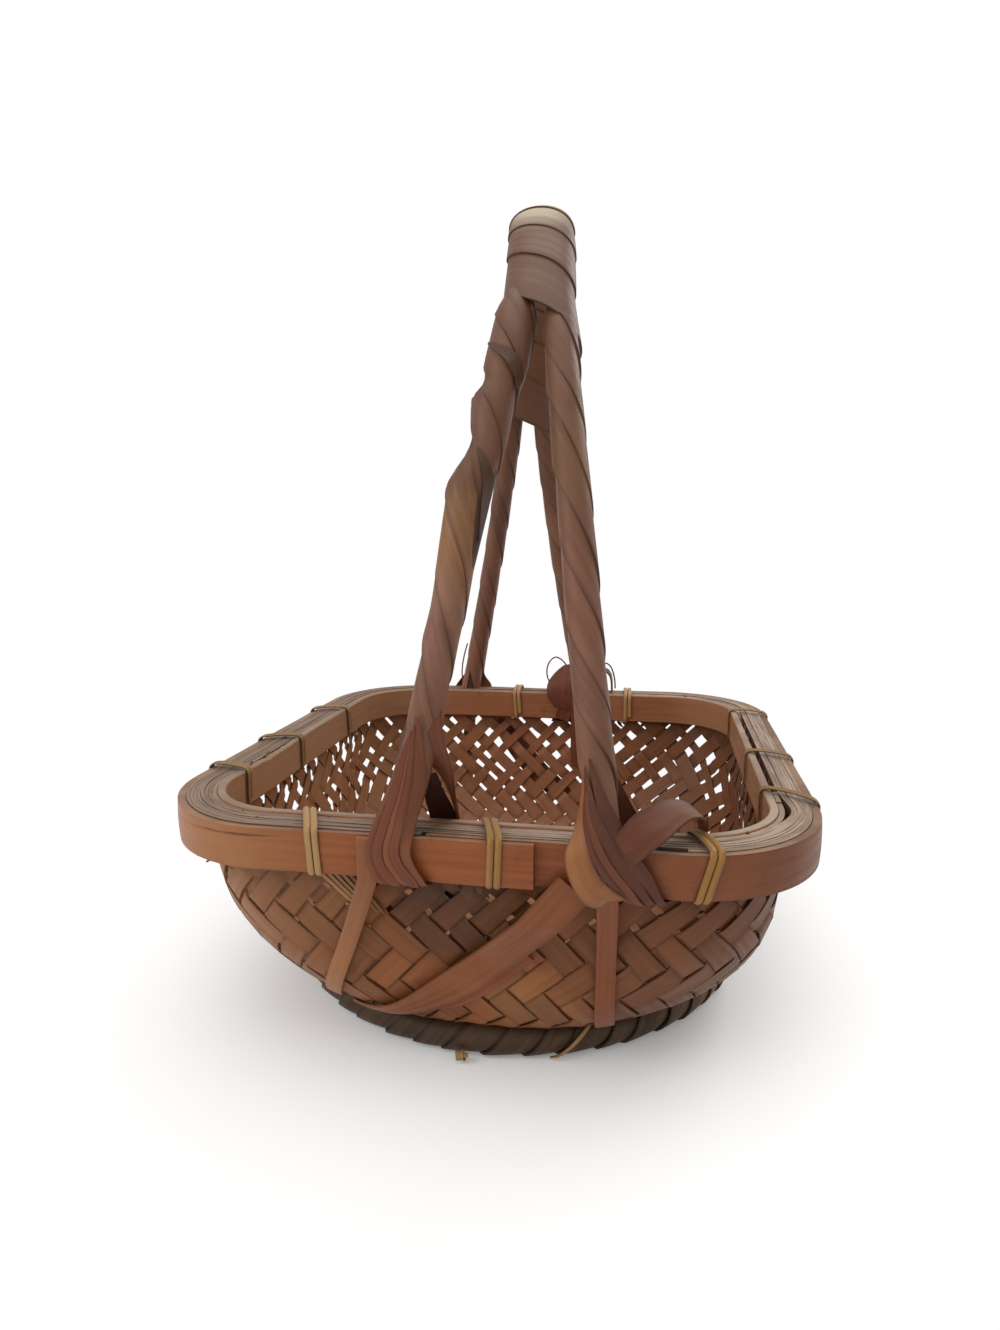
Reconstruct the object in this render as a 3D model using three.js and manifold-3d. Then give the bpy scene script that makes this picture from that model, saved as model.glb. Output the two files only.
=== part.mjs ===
// Ikebana basket: a woven bamboo bowl with a square laminated rim, a round wrapped foot ring
// and a tall arched handle of two lashed rods. Millimetres, +Z up, origin on the floor under the middle.

import * as THREE from 'three';
import { mergeVertices } from 'three/addons/utils/BufferGeometryUtils.js';
import Module from 'manifold-3d';

const wasm = await Module();
wasm.setup();

// Driving dimensions: rim
const rimHalfWidth = 130;
const rimHalfDepth = 134;
const rimCornerRadius = 54;
const rimTopHeight = 102.5;
const hoopHeight = 16.9;
const outerHoopDrop = 0.7;
const layerThickness = 3.1;
const fillerCount = 3;
const fillerDrop = 1.2;
const innerHoopThickness = 3.4;
const lapEnd = 27;
const lapHiddenLength = 39;
const lapRampLength = 50;
const lapEndGap = 1.5;

// Driving dimensions: woven bowl
const weaveThickness = 1.6;
const floorThickness = 1.6;
const bowlBaseOverhang = 1.3;
const bowlBaseFlat = 5;
const bowlEdgeDrop = 1;
const bowlBulge = 2.15;
const cornerBulge = 2.4;

// Driving dimensions: foot ring
const footRingOuterRadius = 109.3;
const footWrapOuterRadius = 6.6;
const footWrapThickness = 1.1;
const footCoreRadius = 4.6;
const footWrapTurns = 23;
const footWrapGap = 4.7;
const footWrapOpenDeg = 15;
const footFlatDepth = 0.5;
const footKnotRadius = 2.6;
const footKnotDeg = -92.5;
const footTieStartDeg = -62.5;
const footTieEndDeg = -69.5;
const footTieTopDeg = 36;
const footTieLowDeg = -40;
const footTieWidth = 2.2;

// Driving dimensions: handle
const legInset = 4.5;
const springBelowRim = 7.5;
const archRise = 243;
const archRoundness = 2.2;
const rodRadius = 5.4;
const footHalfGap = 37.6;
const crownRodGap = 3.6;
const partingDrop = 48;
const spreadPower = 1.2;
const handleShift = -1;
const handleTurnDeg = 6.1;
const crownTurnDeg = 4.4;
const crownLean = 10.5;

// Driving dimensions: wrapping strips
const seatGap = 0.3;
const wrapLooseness = 0.6;
const wrapThickness = 0.9;
const legWrapTurns = 7;
const legWrapGap = 5.6;
const legWrapDrop = 53;
const crownWrapTurns = 10;
const crownWrapGap = 4.4;
const crownWrapDrop = 49;

// Driving dimensions: lashings, slats and bows at the rim
const caneWidth = 2.9;
const caneThickness = 1.2;
const caneGap = 0.6;
const caneTurns = 2;
const slatWidth = 7.6;
const slatThickness = 2.2;
const tailWidth = 8;
const tailThickness = 1.8;
const tailLength = 48;
const strapWidth = 12;
const strapTopWidth = 14;
const strapThickness = 1.2;
const strapRise = 15;
const sashWidth = 13.5;
const sashThickness = 1;
const sashTaperShare = 0.3;
const backingWidth = 9;
const backingDrop = 6;
const backingTaperShare = 0.2;
const backingFrom = 0.3;
const backingTo = 0.7;
const tipShare = 0.2;
const settleShare = 0.45;
const settlePower = 1.6;
const bowWidth = 12;
const bowThickness = 1.1;
const bowInset = 2;
const bowBellyShare = 0.12;
const bowRoundness = 0.8;

// How the feet of the legs go over the rim: where the outer slat runs, and how far the strap leans; a
// tucked foot's strap ends under the hoops and has no tail, so the inner hoop is bare there
const slantedFoot = { slatShift: -6, slatRun: -30.5, strapLean: 5.5, faceWidth: 13 };
const spreadFoot = { slatShift: -6, slatRun: -30.5, strapLean: 15, faceWidth: 13 };
const uprightFoot = { slatShift: 0.6, slatRun: -1.6, strapLean: 14, faceWidth: 16 };
const tuckedFoot = { ...uprightFoot, tucked: true };

// Middle line of the sash from its lower end: places across, and shares of the wall's height
const sashPlaces = [[-52, 0.028], [-36, 0.09], [-20, 0.2], [1, 0.413], [19, 0.654], [41, 1.02]];

// Loops of strip on top of the rim: from and to are measured along it from the foot of a leg
const bows = [
  { name: 'bow_front', leg: 'front_right', from: 8.1, to: 28.1, rise: 19 },
  { name: 'bow_back_large', leg: 'back_right', from: 10.2, to: 26.2, rise: 18 },
  { name: 'bow_back_small', leg: 'back_right', from: -16.8, to: -8.8, rise: 14.5 },
];

// Places of the cane lashings: from the feet of the legs on the sides that carry them, and as shares
// of the half length on the two other sides
const lashingsByLeg = {
  front: [['front_left', -29.7], ['front_left', 37.9], ['front_right', 35.3]],
  back: [['back_right', -26.5], ['back_right', 44.4], ['back_left', 26.8]],
};
const lashingShares = {
  right: [-0.5, -0.06, 0.59],
  left: [-0.37, 0.12, 0.51],
};

// Sizes that follow from the ones above
const rodSeatHeight = rimTopHeight + seatGap;
const hoopBottom = rimTopHeight - hoopHeight;
const outerHoopTop = rimTopHeight - outerHoopDrop;
const fillerTop = rimTopHeight - fillerDrop;
const layerStep = layerThickness + seatGap;
const weaveInset = layerStep * (fillerCount + 1);
const innerHoopInset = weaveInset + weaveThickness + seatGap;
const packThickness = innerHoopInset + innerHoopThickness;
const footRingRadius = footRingOuterRadius - footWrapOuterRadius;
const footRingHeight = footWrapOuterRadius - footFlatDepth;
const bowlBaseRadius = footRingRadius + bowlBaseOverhang;
const bowlBaseHeight = footRingHeight + footWrapOuterRadius + seatGap;
const bowlTopHeight = rimTopHeight - bowlEdgeDrop;
const wrapInnerRadius = rodRadius + wrapLooseness;
const wrapOuterRadius = wrapInnerRadius + wrapThickness;
const strapInset = seatGap + slatThickness + 2 * seatGap;
const strapInside = packThickness + seatGap + tailThickness + 2 * seatGap;
const canePitch = caneWidth + caneGap;
const archHalfSpan = rimHalfDepth - legInset;
const archSpringHeight = rimTopHeight - springBelowRim;
const archTopHeight = archSpringHeight + archRise;
const partingHeight = archTopHeight - partingDrop;
const crownHalfGap = rodRadius + crownRodGap / 2;

// Fineness of the curved pieces
const stepsPerTurn = 12;
const cornerSteps = 9;
const straightSteps = 3;
const wallSteps = 8;
const wallCrowding = 1.5;
const rodSides = 10;
const rodSteps = 34;
const coreSides = 8;
const coreSteps = 40;

const bamboo = {
  hoop: { color: 0x8a4f33, roughness: 0.55 },
  filler: { color: 0x6f5546, roughness: 0.6 },
  weave: { color: 0x7b4a36, roughness: 0.6 },
  cane: { color: 0xa77a48, roughness: 0.45 },
  wrap: { color: 0x76503f, roughness: 0.55 },
  strap: { color: 0x80482f, roughness: 0.55 },
  rod: { color: 0x5c3c2e, roughness: 0.6 },
  foot: { color: 0x4a342a, roughness: 0.6 },
};

const basket = new THREE.Group();

function addPiece(name, geometry, finish) {
  const mesh = new THREE.Mesh(geometry, new THREE.MeshStandardMaterial({ ...finish, metalness: 0 }));
  mesh.name = name;
  basket.add(mesh);
}

function signedVolume(position, index) {
  const a = new THREE.Vector3();
  const b = new THREE.Vector3();
  const c = new THREE.Vector3();
  let total = 0;
  for (let i = 0; i < index.length; i += 3) {
    a.fromArray(position, index[i] * 3);
    b.fromArray(position, index[i + 1] * 3);
    c.fromArray(position, index[i + 2] * 3);
    total += a.dot(b.cross(c)) / 6;
  }
  return total;
}

// A skin over a run of cross-sections, each a ring of points in the same order, closed at both ends
// or joined into a loop
function skin(rings, loop = false) {
  const size = rings[0].length;
  const position = rings.flatMap((ring) => ring.flatMap((point) => point.toArray()));
  const index = [];
  const spans = loop ? rings.length : rings.length - 1;
  for (let i = 0; i < spans; i += 1) {
    const near = i * size;
    const far = ((i + 1) % rings.length) * size;
    for (let j = 0; j < size; j += 1) {
      const next = (j + 1) % size;
      index.push(near + j, near + next, far + next);
      index.push(near + j, far + next, far + j);
    }
  }
  if (!loop) {
    closeEnd(rings[0], 0, false, position, index);
    closeEnd(rings[rings.length - 1], (rings.length - 1) * size, true, position, index);
  }
  if (signedVolume(position, index) < 0) {
    index.reverse();
  }
  const geometry = new THREE.BufferGeometry();
  geometry.setAttribute('position', new THREE.Float32BufferAttribute(position, 3));
  geometry.setIndex(index);
  geometry.computeVertexNormals();
  return geometry;
}

// A flat fan over an end ring, about its middle
function closeEnd(ring, start, forwards, position, index) {
  const middle = new THREE.Vector3();
  ring.forEach((point) => middle.addScaledVector(point, 1 / ring.length));
  const hub = position.length / 3;
  position.push(...middle.toArray());
  for (let j = 0; j < ring.length; j += 1) {
    const next = (j + 1) % ring.length;
    const pair = forwards ? [start + j, start + next] : [start + next, start + j];
    index.push(hub, ...pair);
  }
}

function toSolid(geometry) {
  const bare = geometry.clone();
  bare.deleteAttribute('normal');
  bare.deleteAttribute('uv');
  const merged = mergeVertices(bare, 1e-4);
  return new wasm.Manifold(new wasm.Mesh({
    numProp: 3,
    vertProperties: new Float32Array(merged.attributes.position.array),
    triVerts: new Uint32Array(merged.index.array),
  }));
}

function toGeometry(solid) {
  const mesh = solid.getMesh();
  const geometry = new THREE.BufferGeometry();
  geometry.setAttribute('position', new THREE.Float32BufferAttribute(mesh.vertProperties, 3));
  geometry.setIndex(Array.from(mesh.triVerts));
  geometry.computeVertexNormals();
  return geometry;
}

// What is left of a piece above a level plane, cut with a block larger than the basket
function cutBelow(geometry, height) {
  const reach = 4 * (rimHalfWidth + rimHalfDepth);
  const block = new THREE.BoxGeometry(reach, reach, reach);
  block.translate(0, 0, height - reach / 2);
  return toGeometry(toSolid(geometry).subtract(toSolid(block)));
}

// Rim line: places along it are measured on the outer face from the middle of the front side,
// anticlockwise from above, and insets run inwards from that face

const rimStraightX = rimHalfWidth - rimCornerRadius;
const rimStraightY = rimHalfDepth - rimCornerRadius;
const cornerArc = rimCornerRadius * Math.PI / 2;
const rimLength = 4 * (rimStraightX + rimStraightY + cornerArc);

function rimFrame(mark) {
  let rest = THREE.MathUtils.euclideanModulo(mark + rimStraightX, rimLength);
  let side = 0;
  let straight = 2 * rimStraightX;
  while (rest > straight + cornerArc) {
    rest -= straight + cornerArc;
    side += 1;
    straight = side % 2 === 0 ? 2 * rimStraightX : 2 * rimStraightY;
  }
  const angle = (side - 1) * Math.PI / 2 + Math.max(0, rest - straight) / rimCornerRadius;
  const outward = new THREE.Vector3(Math.cos(angle), Math.sin(angle), 0);
  const along = new THREE.Vector3(-Math.sin(angle), Math.cos(angle), 0);
  const corner = new THREE.Vector3(
    side === 0 || side === 1 ? rimStraightX : -rimStraightX,
    side === 1 || side === 2 ? rimStraightY : -rimStraightY,
    0,
  );
  const face = corner.addScaledVector(outward, rimCornerRadius);
  face.addScaledVector(along, Math.min(0, rest - straight));
  return { face, outward, along };
}

function rimPoint(mark, inset, height) {
  const { face, outward } = rimFrame(mark);
  return face.addScaledVector(outward, -inset).setZ(height);
}

// Place of a share of a side's half length, along the way round: front +X, right +Y, back -X, left -Y
function markOnSide(side, share) {
  const turn = ['front', 'right', 'back', 'left'].indexOf(side);
  const half = turn % 2 === 0 ? rimHalfWidth : rimHalfDepth;
  const straight = half - rimCornerRadius;
  const reach = Math.abs(share) * half;
  const bend = Math.asin(Math.max(0, reach - straight) / rimCornerRadius) * rimCornerRadius;
  const offset = Math.sign(share) * (Math.min(reach, straight) + bend);
  return turn * rimLength / 4 + offset;
}

// Marks round the rim from one place to another, closer together where it bends
function rimMarks(from, to) {
  const marks = [from];
  const steps = [];
  for (let lap = -1; lap <= 2; lap += 1) {
    let at = lap * rimLength - rimStraightX;
    for (let side = 0; side < 4; side += 1) {
      const straight = side % 2 === 0 ? 2 * rimStraightX : 2 * rimStraightY;
      for (let i = 0; i < straightSteps; i += 1) {
        steps.push(at + straight * i / straightSteps);
      }
      at += straight;
      for (let i = 0; i < cornerSteps; i += 1) {
        steps.push(at + cornerArc * i / cornerSteps);
      }
      at += cornerArc;
    }
  }
  steps.filter((at) => at > from + seatGap && at < to - seatGap).forEach((at) => marks.push(at));
  marks.push(to);
  return marks;
}

function hoopSection(mark, inset, thickness, bottom, top) {
  return [
    rimPoint(mark, inset, bottom),
    rimPoint(mark, inset + thickness, bottom),
    rimPoint(mark, inset + thickness, top),
    rimPoint(mark, inset, top),
  ];
}

// The outer hoop is one strip that starts hidden behind its own end, then comes out to the face
function outerHoopGeometry() {
  const start = lapEnd - lapHiddenLength;
  const rampEnd = lapEnd + lapRampLength;
  const rampSteps = 6;
  const marks = [start, lapEnd];
  for (let i = 1; i <= rampSteps; i += 1) {
    marks.push(lapEnd + lapRampLength * i / rampSteps);
  }
  marks.push(...rimMarks(rampEnd, lapEnd + rimLength).slice(1));
  const rings = marks.map((mark) => {
    const ramp = THREE.MathUtils.smoothstep(mark, lapEnd, rampEnd);
    return hoopSection(mark, layerStep * (1 - ramp), layerThickness, hoopBottom, outerHoopTop);
  });
  return skin(rings);
}

function fillerGeometry(layer) {
  const inset = layerStep * layer;
  const from = layer === 1 ? lapEnd + lapRampLength + lapEndGap : lapEnd + layer * lapHiddenLength;
  const to = layer === 1
    ? rimLength + lapEnd - lapHiddenLength - lapEndGap
    : rimLength + from - lapEndGap;
  const rings = rimMarks(from, to).map(
    (mark) => hoopSection(mark, inset, layerThickness, hoopBottom, fillerTop),
  );
  return skin(rings);
}

function innerHoopGeometry() {
  const from = -lapHiddenLength;
  const to = from + rimLength - lapEndGap;
  const rings = rimMarks(from, to).map(
    (mark) => hoopSection(mark, innerHoopInset, innerHoopThickness, hoopBottom, rimTopHeight),
  );
  return skin(rings);
}

// Woven bowl: level sections run from a circle at the base to the rim's rounded square
function bowlSize(height) {
  const share = THREE.MathUtils.clamp(
    (height - bowlBaseHeight) / (hoopBottom - bowlBaseHeight), 0, 1,
  );
  const swell = (1 - (1 - share) ** bowlBulge) ** (1 / bowlBulge);
  const baseCorner = bowlBaseRadius - bowlBaseFlat;
  return {
    halfWidth: THREE.MathUtils.lerp(bowlBaseRadius, rimHalfWidth - weaveInset, swell),
    halfDepth: THREE.MathUtils.lerp(bowlBaseRadius, rimHalfDepth - weaveInset, swell),
    corner: THREE.MathUtils.lerp(baseCorner, rimCornerRadius - weaveInset, swell ** cornerBulge),
  };
}

function bowlRing(height, inset, level) {
  const size = bowlSize(height);
  const corner = size.corner - inset;
  const straightX = size.halfWidth - size.corner;
  const straightY = size.halfDepth - size.corner;
  const ring = [];
  for (let side = 0; side < 4; side += 1) {
    const signX = side === 0 || side === 1 ? 1 : -1;
    const signY = side === 1 || side === 2 ? 1 : -1;
    const straight = side % 2 === 0 ? 2 * straightX : 2 * straightY;
    const startAngle = (side - 1) * Math.PI / 2;
    const back = new THREE.Vector3(Math.sin(startAngle), -Math.cos(startAngle), 0);
    for (let i = 0; i < straightSteps + cornerSteps; i += 1) {
      const turn = Math.max(0, i - straightSteps) * Math.PI / 2 / cornerSteps;
      const point = new THREE.Vector3(
        signX * straightX + corner * Math.cos(startAngle + turn),
        signY * straightY + corner * Math.sin(startAngle + turn),
        level,
      );
      const before = Math.max(0, 1 - i / straightSteps) * straight;
      ring.push(point.addScaledVector(back, before));
    }
  }
  return ring;
}

// Levels of the wall's cross-sections, closer together low down where it curves most
function wallLevels(bottom) {
  const levels = [];
  for (let i = 0; i <= wallSteps; i += 1) {
    levels.push(THREE.MathUtils.lerp(bottom, hoopBottom, (i / wallSteps) ** wallCrowding));
  }
  return levels;
}

function bowlGeometry(slots) {
  const outer = wallLevels(bowlBaseHeight).map((level) => bowlRing(level, 0, level));
  const inner = wallLevels(bowlBaseHeight + floorThickness).map(
    (level) => bowlRing(level, weaveThickness, level),
  ).reverse();
  outer.push(bowlRing(hoopBottom, 0, bowlTopHeight));
  inner.unshift(bowlRing(hoopBottom, weaveThickness, bowlTopHeight));
  let solid = toSolid(skin([...outer, ...inner]));
  slots.forEach((slot) => {
    solid = solid.subtract(toSolid(slot));
  });
  return toGeometry(solid);
}

// A gap in the weave just under the hoops, where a strip passes through
function weaveSlot(mark, width, height) {
  const { along } = rimFrame(mark);
  const slot = new THREE.BoxGeometry(width, weaveThickness * 4, height);
  slot.rotateZ(Math.atan2(along.y, along.x));
  const middle = rimPoint(mark, weaveInset + weaveThickness / 2, hoopBottom + seatGap - height / 2);
  slot.translate(middle.x, middle.y, middle.z);
  return slot;
}

// Distance of the bowl's wall in front of the middle, at a place across and a height
function wallDepth(x, height) {
  const size = bowlSize(height);
  const past = Math.max(0, Math.abs(x) - (size.halfWidth - size.corner));
  return size.halfDepth - size.corner + Math.sqrt(Math.max(0, size.corner ** 2 - past ** 2));
}

// A flat strip through nodes with their half widths, its thickness on the side of way x across
function ribbon(nodes, thickness) {
  const rings = nodes.map(({ at, across }, i) => {
    const before = at.clone().sub(nodes[Math.max(0, i - 1)].at);
    const after = nodes[Math.min(nodes.length - 1, i + 1)].at.clone().sub(at);
    const first = (i === 0 ? after : before).clone().cross(across).normalize();
    const second = (i === nodes.length - 1 ? before : after).clone().cross(across).normalize();
    const lift = first.clone().add(second).multiplyScalar(thickness / (1 + first.dot(second)));
    return [
      at.clone().sub(across),
      at.clone().add(across),
      at.clone().add(across).add(lift),
      at.clone().sub(across).add(lift),
    ];
  });
  return { rings, geometry: skin(rings) };
}

// A strip round the rim's section, through nodes of offset along the rim, inset, height and width
function rimRibbon(mark, nodes, thickness) {
  return ribbon(nodes.map(({ offset, inset, height, width }) => ({
    at: rimPoint(mark + offset, inset, height),
    across: rimFrame(mark + offset).along.multiplyScalar(width / 2),
  })), thickness);
}

// Least distance between points of a winding that are more than two thirds of a turn apart
function leastSelfGap(rings, turnSteps) {
  let least = Infinity;
  for (let i = 0; i < rings.length; i += 1) {
    for (let j = i + Math.ceil(turnSteps * 2 / 3); j < rings.length; j += 1) {
      rings[i].forEach((a) => rings[j].forEach((b) => {
        least = Math.min(least, a.distanceTo(b));
      }));
    }
  }
  return least;
}

function reportGap(name, rings, turnSteps) {
  console.log(`${name}: least gap to itself ${leastSelfGap(rings, turnSteps).toFixed(2)} mm`);
}

// Cane lashing: two turns of one strip round the whole rim, square to it; where the rim bends, the
// inner hoop's face bows in behind the turns by the sag
function caneLashing(name, mark) {
  const innerRadius = rimCornerRadius - packThickness;
  const halfLength = (canePitch * caneTurns + caneWidth) / 2;
  const sag = innerRadius - Math.sqrt(innerRadius ** 2 - halfLength ** 2);
  const inside = packThickness + seatGap + sag;
  const outside = -seatGap;
  const top = rimTopHeight + seatGap;
  const low = hoopBottom - seatGap;
  const corners = [[inside, low], [inside, top], [outside, top], [outside, low]];
  const { face, outward, along } = rimFrame(mark);
  const steps = caneTurns * corners.length;
  const nodes = [];
  for (let i = 0; i <= steps; i += 1) {
    const [inset, height] = corners[i % corners.length];
    const offset = canePitch * caneTurns * (i / steps - 0.5);
    nodes.push({
      at: face.clone().addScaledVector(outward, -inset).addScaledVector(along, offset).setZ(height),
      across: along.clone().multiplyScalar(caneWidth / 2),
    });
  }
  const { rings, geometry } = ribbon(nodes, caneThickness);
  reportGap(name, rings, corners.length);
  return geometry;
}

// Handle: an arch line in side view, turned and leaned, with a rod on each side of it
class ArchLine extends THREE.Curve {
  constructor(side) {
    super();
    this.side = side;
    this.arcLengthDivisions = 400;
  }

  getPoint(t) {
    const angle = Math.PI * t;
    const power = 2 / archRoundness;
    const y = -archHalfSpan * Math.sign(Math.cos(angle)) * Math.abs(Math.cos(angle)) ** power;
    const rise = Math.max(0, Math.sin(angle)) ** power;
    const z = archSpringHeight + archRise * rise;
    const turn = Math.tan(THREE.MathUtils.degToRad(handleTurnDeg));
    const crownTurn = Math.tan(THREE.MathUtils.degToRad(crownTurnDeg));
    const middle = handleShift - turn * y + rise * (crownLean - crownTurn * y);
    const open = Math.max(0, (partingHeight - z) / (partingHeight - rimTopHeight));
    const half = crownHalfGap + (footHalfGap - crownHalfGap) * open ** spreadPower;
    return new THREE.Vector3(middle + this.side * half, y, z);
  }
}

const archMiddle = new ArchLine(0);
const rodLines = { left: new ArchLine(-1), right: new ArchLine(1) };
const legs = {
  front_left: { line: rodLines.left, end: 'front', foot: slantedFoot },
  front_right: { line: rodLines.right, end: 'front', foot: uprightFoot },
  back_right: { line: rodLines.right, end: 'back', foot: spreadFoot },
  back_left: { line: rodLines.left, end: 'back', foot: tuckedFoot },
};

// Where a leg's foot stands along its side of the rim, from the side's middle the way round
function legPlace(name) {
  const { line, end } = legs[name];
  return end === 'back' ? -line.getPoint(1).x : line.getPoint(0).x;
}

function legMark(name) {
  return markOnSide(legs[name].end, legPlace(name) / rimHalfWidth);
}

// Point, way along, sideways and outward direction of an arch line, at a distance from its foot
function archFrame(line, distance) {
  const length = line.getLength();
  const share = THREE.MathUtils.clamp(distance / length, 0, 1);
  const way = line.getTangentAt(share);
  const at = line.getPointAt(share).addScaledVector(way, distance - share * length);
  const sideways = new THREE.Vector3(1, 0, 0).addScaledVector(way, -way.x).normalize();
  const outward = sideways.clone().cross(way).normalize();
  return { at, way, sideways, outward };
}

// Distance along an arch line at which it first reaches a height
function distanceAtHeight(line, height) {
  const length = line.getLength();
  const steps = 600;
  for (let i = 0; i < steps / 2; i += 1) {
    if (line.getPointAt(i / steps).z >= height) {
      return length * i / steps;
    }
  }
  return length / 2;
}

// A strip wound in turns over a stretch of one rod, or of two rods half a gap each side of the line;
// the gap between its turns is what the strip's width leaves free
function woundStrip(line, from, to, turns, gap, halfGap) {
  const steps = turns * stepsPerTurn;
  const width = (to - from) / turns - gap;
  const facetHalf = Math.PI / stepsPerTurn;
  const rings = [];
  for (let i = 0; i <= steps; i += 1) {
    const angle = facetHalf * (2 * i + 1);
    const distance = THREE.MathUtils.lerp(from, to, i / steps);
    const corner = (offset, radius) => {
      const { at, sideways, outward } = archFrame(line, distance + offset);
      const across = radius / Math.cos(facetHalf) * Math.cos(angle) + Math.sign(Math.cos(angle)) * halfGap;
      const proud = radius / Math.cos(facetHalf) * Math.sin(angle);
      return at.addScaledVector(sideways, across).addScaledVector(outward, proud);
    };
    rings.push([
      corner(-width / 2, wrapInnerRadius),
      corner(width / 2, wrapInnerRadius),
      corner(width / 2, wrapOuterRadius),
      corner(-width / 2, wrapOuterRadius),
    ]);
  }
  return rings;
}

function rodGeometry(line) {
  const section = new THREE.Shape();
  for (let i = 0; i < rodSides; i += 1) {
    const angle = 2 * Math.PI * i / rodSides;
    const corner = [rodRadius * Math.cos(angle), rodRadius * Math.sin(angle)];
    if (i === 0) {
      section.moveTo(...corner);
    } else {
      section.lineTo(...corner);
    }
  }
  section.closePath();
  return new THREE.ExtrudeGeometry(section, { steps: rodSteps, bevelEnabled: false, extrudePath: line });
}

// Straps that come off the legs, pass under the rim and climb back to the leg inside, or end under it
function strapGeometry(mark, { strapLean, faceWidth, tucked }) {
  const outside = -strapInset;
  const low = hoopBottom - seatGap;
  const legFace = legInset + wrapOuterRadius + 2 * seatGap;
  const legTop = rimTopHeight + strapRise;
  const nodes = [
    { offset: 0, inset: outside, height: legTop, width: strapTopWidth },
    { offset: 0, inset: outside, height: outerHoopTop, width: faceWidth },
    { offset: strapLean, inset: outside, height: low, width: faceWidth },
  ];
  if (tucked) {
    nodes.push({ offset: strapLean, inset: packThickness, height: low, width: strapWidth });
  } else {
    nodes.push(
      { offset: strapLean, inset: strapInside, height: low, width: strapWidth },
      { offset: strapLean / 2, inset: strapInside, height: rimTopHeight + seatGap, width: strapWidth },
      { offset: 0, inset: legFace, height: legTop, width: strapWidth },
    );
  }
  return rimRibbon(mark, nodes, strapThickness).geometry;
}

// The half of the leg's foot that goes down inside the bowl, beside its strap
function tailGeometry(mark, { strapLean }) {
  const inset = packThickness + seatGap;
  const offset = strapLean - strapWidth / 2 - tailWidth / 2 - 2 * seatGap;
  const endHeight = rimTopHeight + seatGap - tailLength;
  const reach = Math.abs(rimPoint(mark + offset, inset, endHeight).x) + tailWidth / 2;
  const wallInset = rimHalfDepth - wallDepth(reach, endHeight) + weaveThickness + 2 * seatGap;
  const nodes = [
    { offset, inset: Math.max(inset, wallInset), height: endHeight, width: tailWidth },
    { offset, inset, height: hoopBottom, width: tailWidth },
    { offset, inset, height: rimTopHeight, width: tailWidth },
  ];
  return rimRibbon(mark, nodes, tailThickness).geometry;
}

// Distance in front of the middle of a strip that leaves the hoop's face and settles on the wall
function stripDepth(x, height, leaveHeight, wallClearance) {
  const settleHeight = THREE.MathUtils.lerp(bowlBaseHeight, hoopBottom, settleShare);
  const rest = wallDepth(x, Math.min(height, leaveHeight)) + wallClearance;
  const share = THREE.MathUtils.clamp((height - settleHeight) / (leaveHeight - settleHeight), 0, 1);
  const spare = rimHalfDepth + seatGap - wallDepth(x, leaveHeight) - wallClearance;
  return rest + spare * share ** settlePower;
}

// Outer slat of a leg: level edges, down the hoop's face and on to the foot of the wall
function slatGeometry(topX, bottomX) {
  const bottom = bowlBaseHeight + seatGap;
  const leaveHeight = hoopBottom - seatGap;
  const levels = wallLevels(bottom).filter((level) => level < leaveHeight - slatThickness);
  levels.push(leaveHeight, outerHoopTop - seatGap);
  const nodes = levels.reverse().map((level) => {
    const fall = Math.max(0, (leaveHeight - level) / (leaveHeight - bottom));
    const x = THREE.MathUtils.lerp(topX, bottomX, fall);
    const edge = (sign) => {
      const edgeX = x + sign * slatWidth / 2;
      const depth = stripDepth(edgeX, level, leaveHeight, 2 * seatGap);
      return new THREE.Vector3(edgeX, -depth, level);
    };
    const left = edge(-1);
    const right = edge(1);
    return {
      at: left.clone().add(right).multiplyScalar(0.5),
      across: right.clone().sub(left).multiplyScalar(0.5),
    };
  });
  return ribbon(nodes, slatThickness).geometry;
}

// A strip laid slantwise on the front of the bowl, over part of a line of places across and up, from
// its lower end; its width narrows to a point over the first part of the way
function sashGeometry(line, { from, to, drop, width, taper, wallClearance }) {
  const steps = 14;
  const leaveHeight = hoopBottom - sashWidth;
  const nodes = [];
  for (let i = 0; i <= steps; i += 1) {
    const share = i / steps;
    const place = line.getPointAt(THREE.MathUtils.lerp(from, to, share));
    const way = line.getTangentAt(THREE.MathUtils.lerp(from, to, share));
    const half = width / 2 * THREE.MathUtils.lerp(tipShare, 1, Math.min(1, share / taper));
    const edge = (offset) => {
      const edgeX = place.x - way.y * offset;
      const edgeZ = place.y + way.x * offset;
      const depth = stripDepth(edgeX, edgeZ, leaveHeight, wallClearance);
      return new THREE.Vector3(edgeX, -depth, edgeZ);
    };
    const low = edge(-drop - half);
    const high = edge(-drop + half);
    nodes.push({
      at: low.clone().add(high).multiplyScalar(0.5),
      across: high.clone().sub(low).multiplyScalar(0.5),
    });
  }
  return ribbon(nodes, sashThickness).geometry;
}

// A loop of strip standing on top of the rim between two places
function bowGeometry(mark, { from, to, rise }) {
  const foot = rimTopHeight + seatGap;
  const steps = 8;
  const nodes = [];
  for (let i = 0; i <= steps; i += 1) {
    const angle = Math.PI * i / steps;
    const half = (to - from) / 2 * (1 + bowBellyShare * Math.sin(angle));
    const offset = (from + to) / 2 + half * Math.cos(angle);
    const height = foot + (rise - seatGap - bowThickness) * Math.sin(angle) ** bowRoundness;
    const { outward } = rimFrame(mark + offset);
    nodes.push({
      at: rimPoint(mark + offset, bowWidth / 2 + bowInset, height),
      across: outward.multiplyScalar(-bowWidth / 2),
    });
  }
  return ribbon(nodes, bowThickness).geometry;
}

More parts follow.
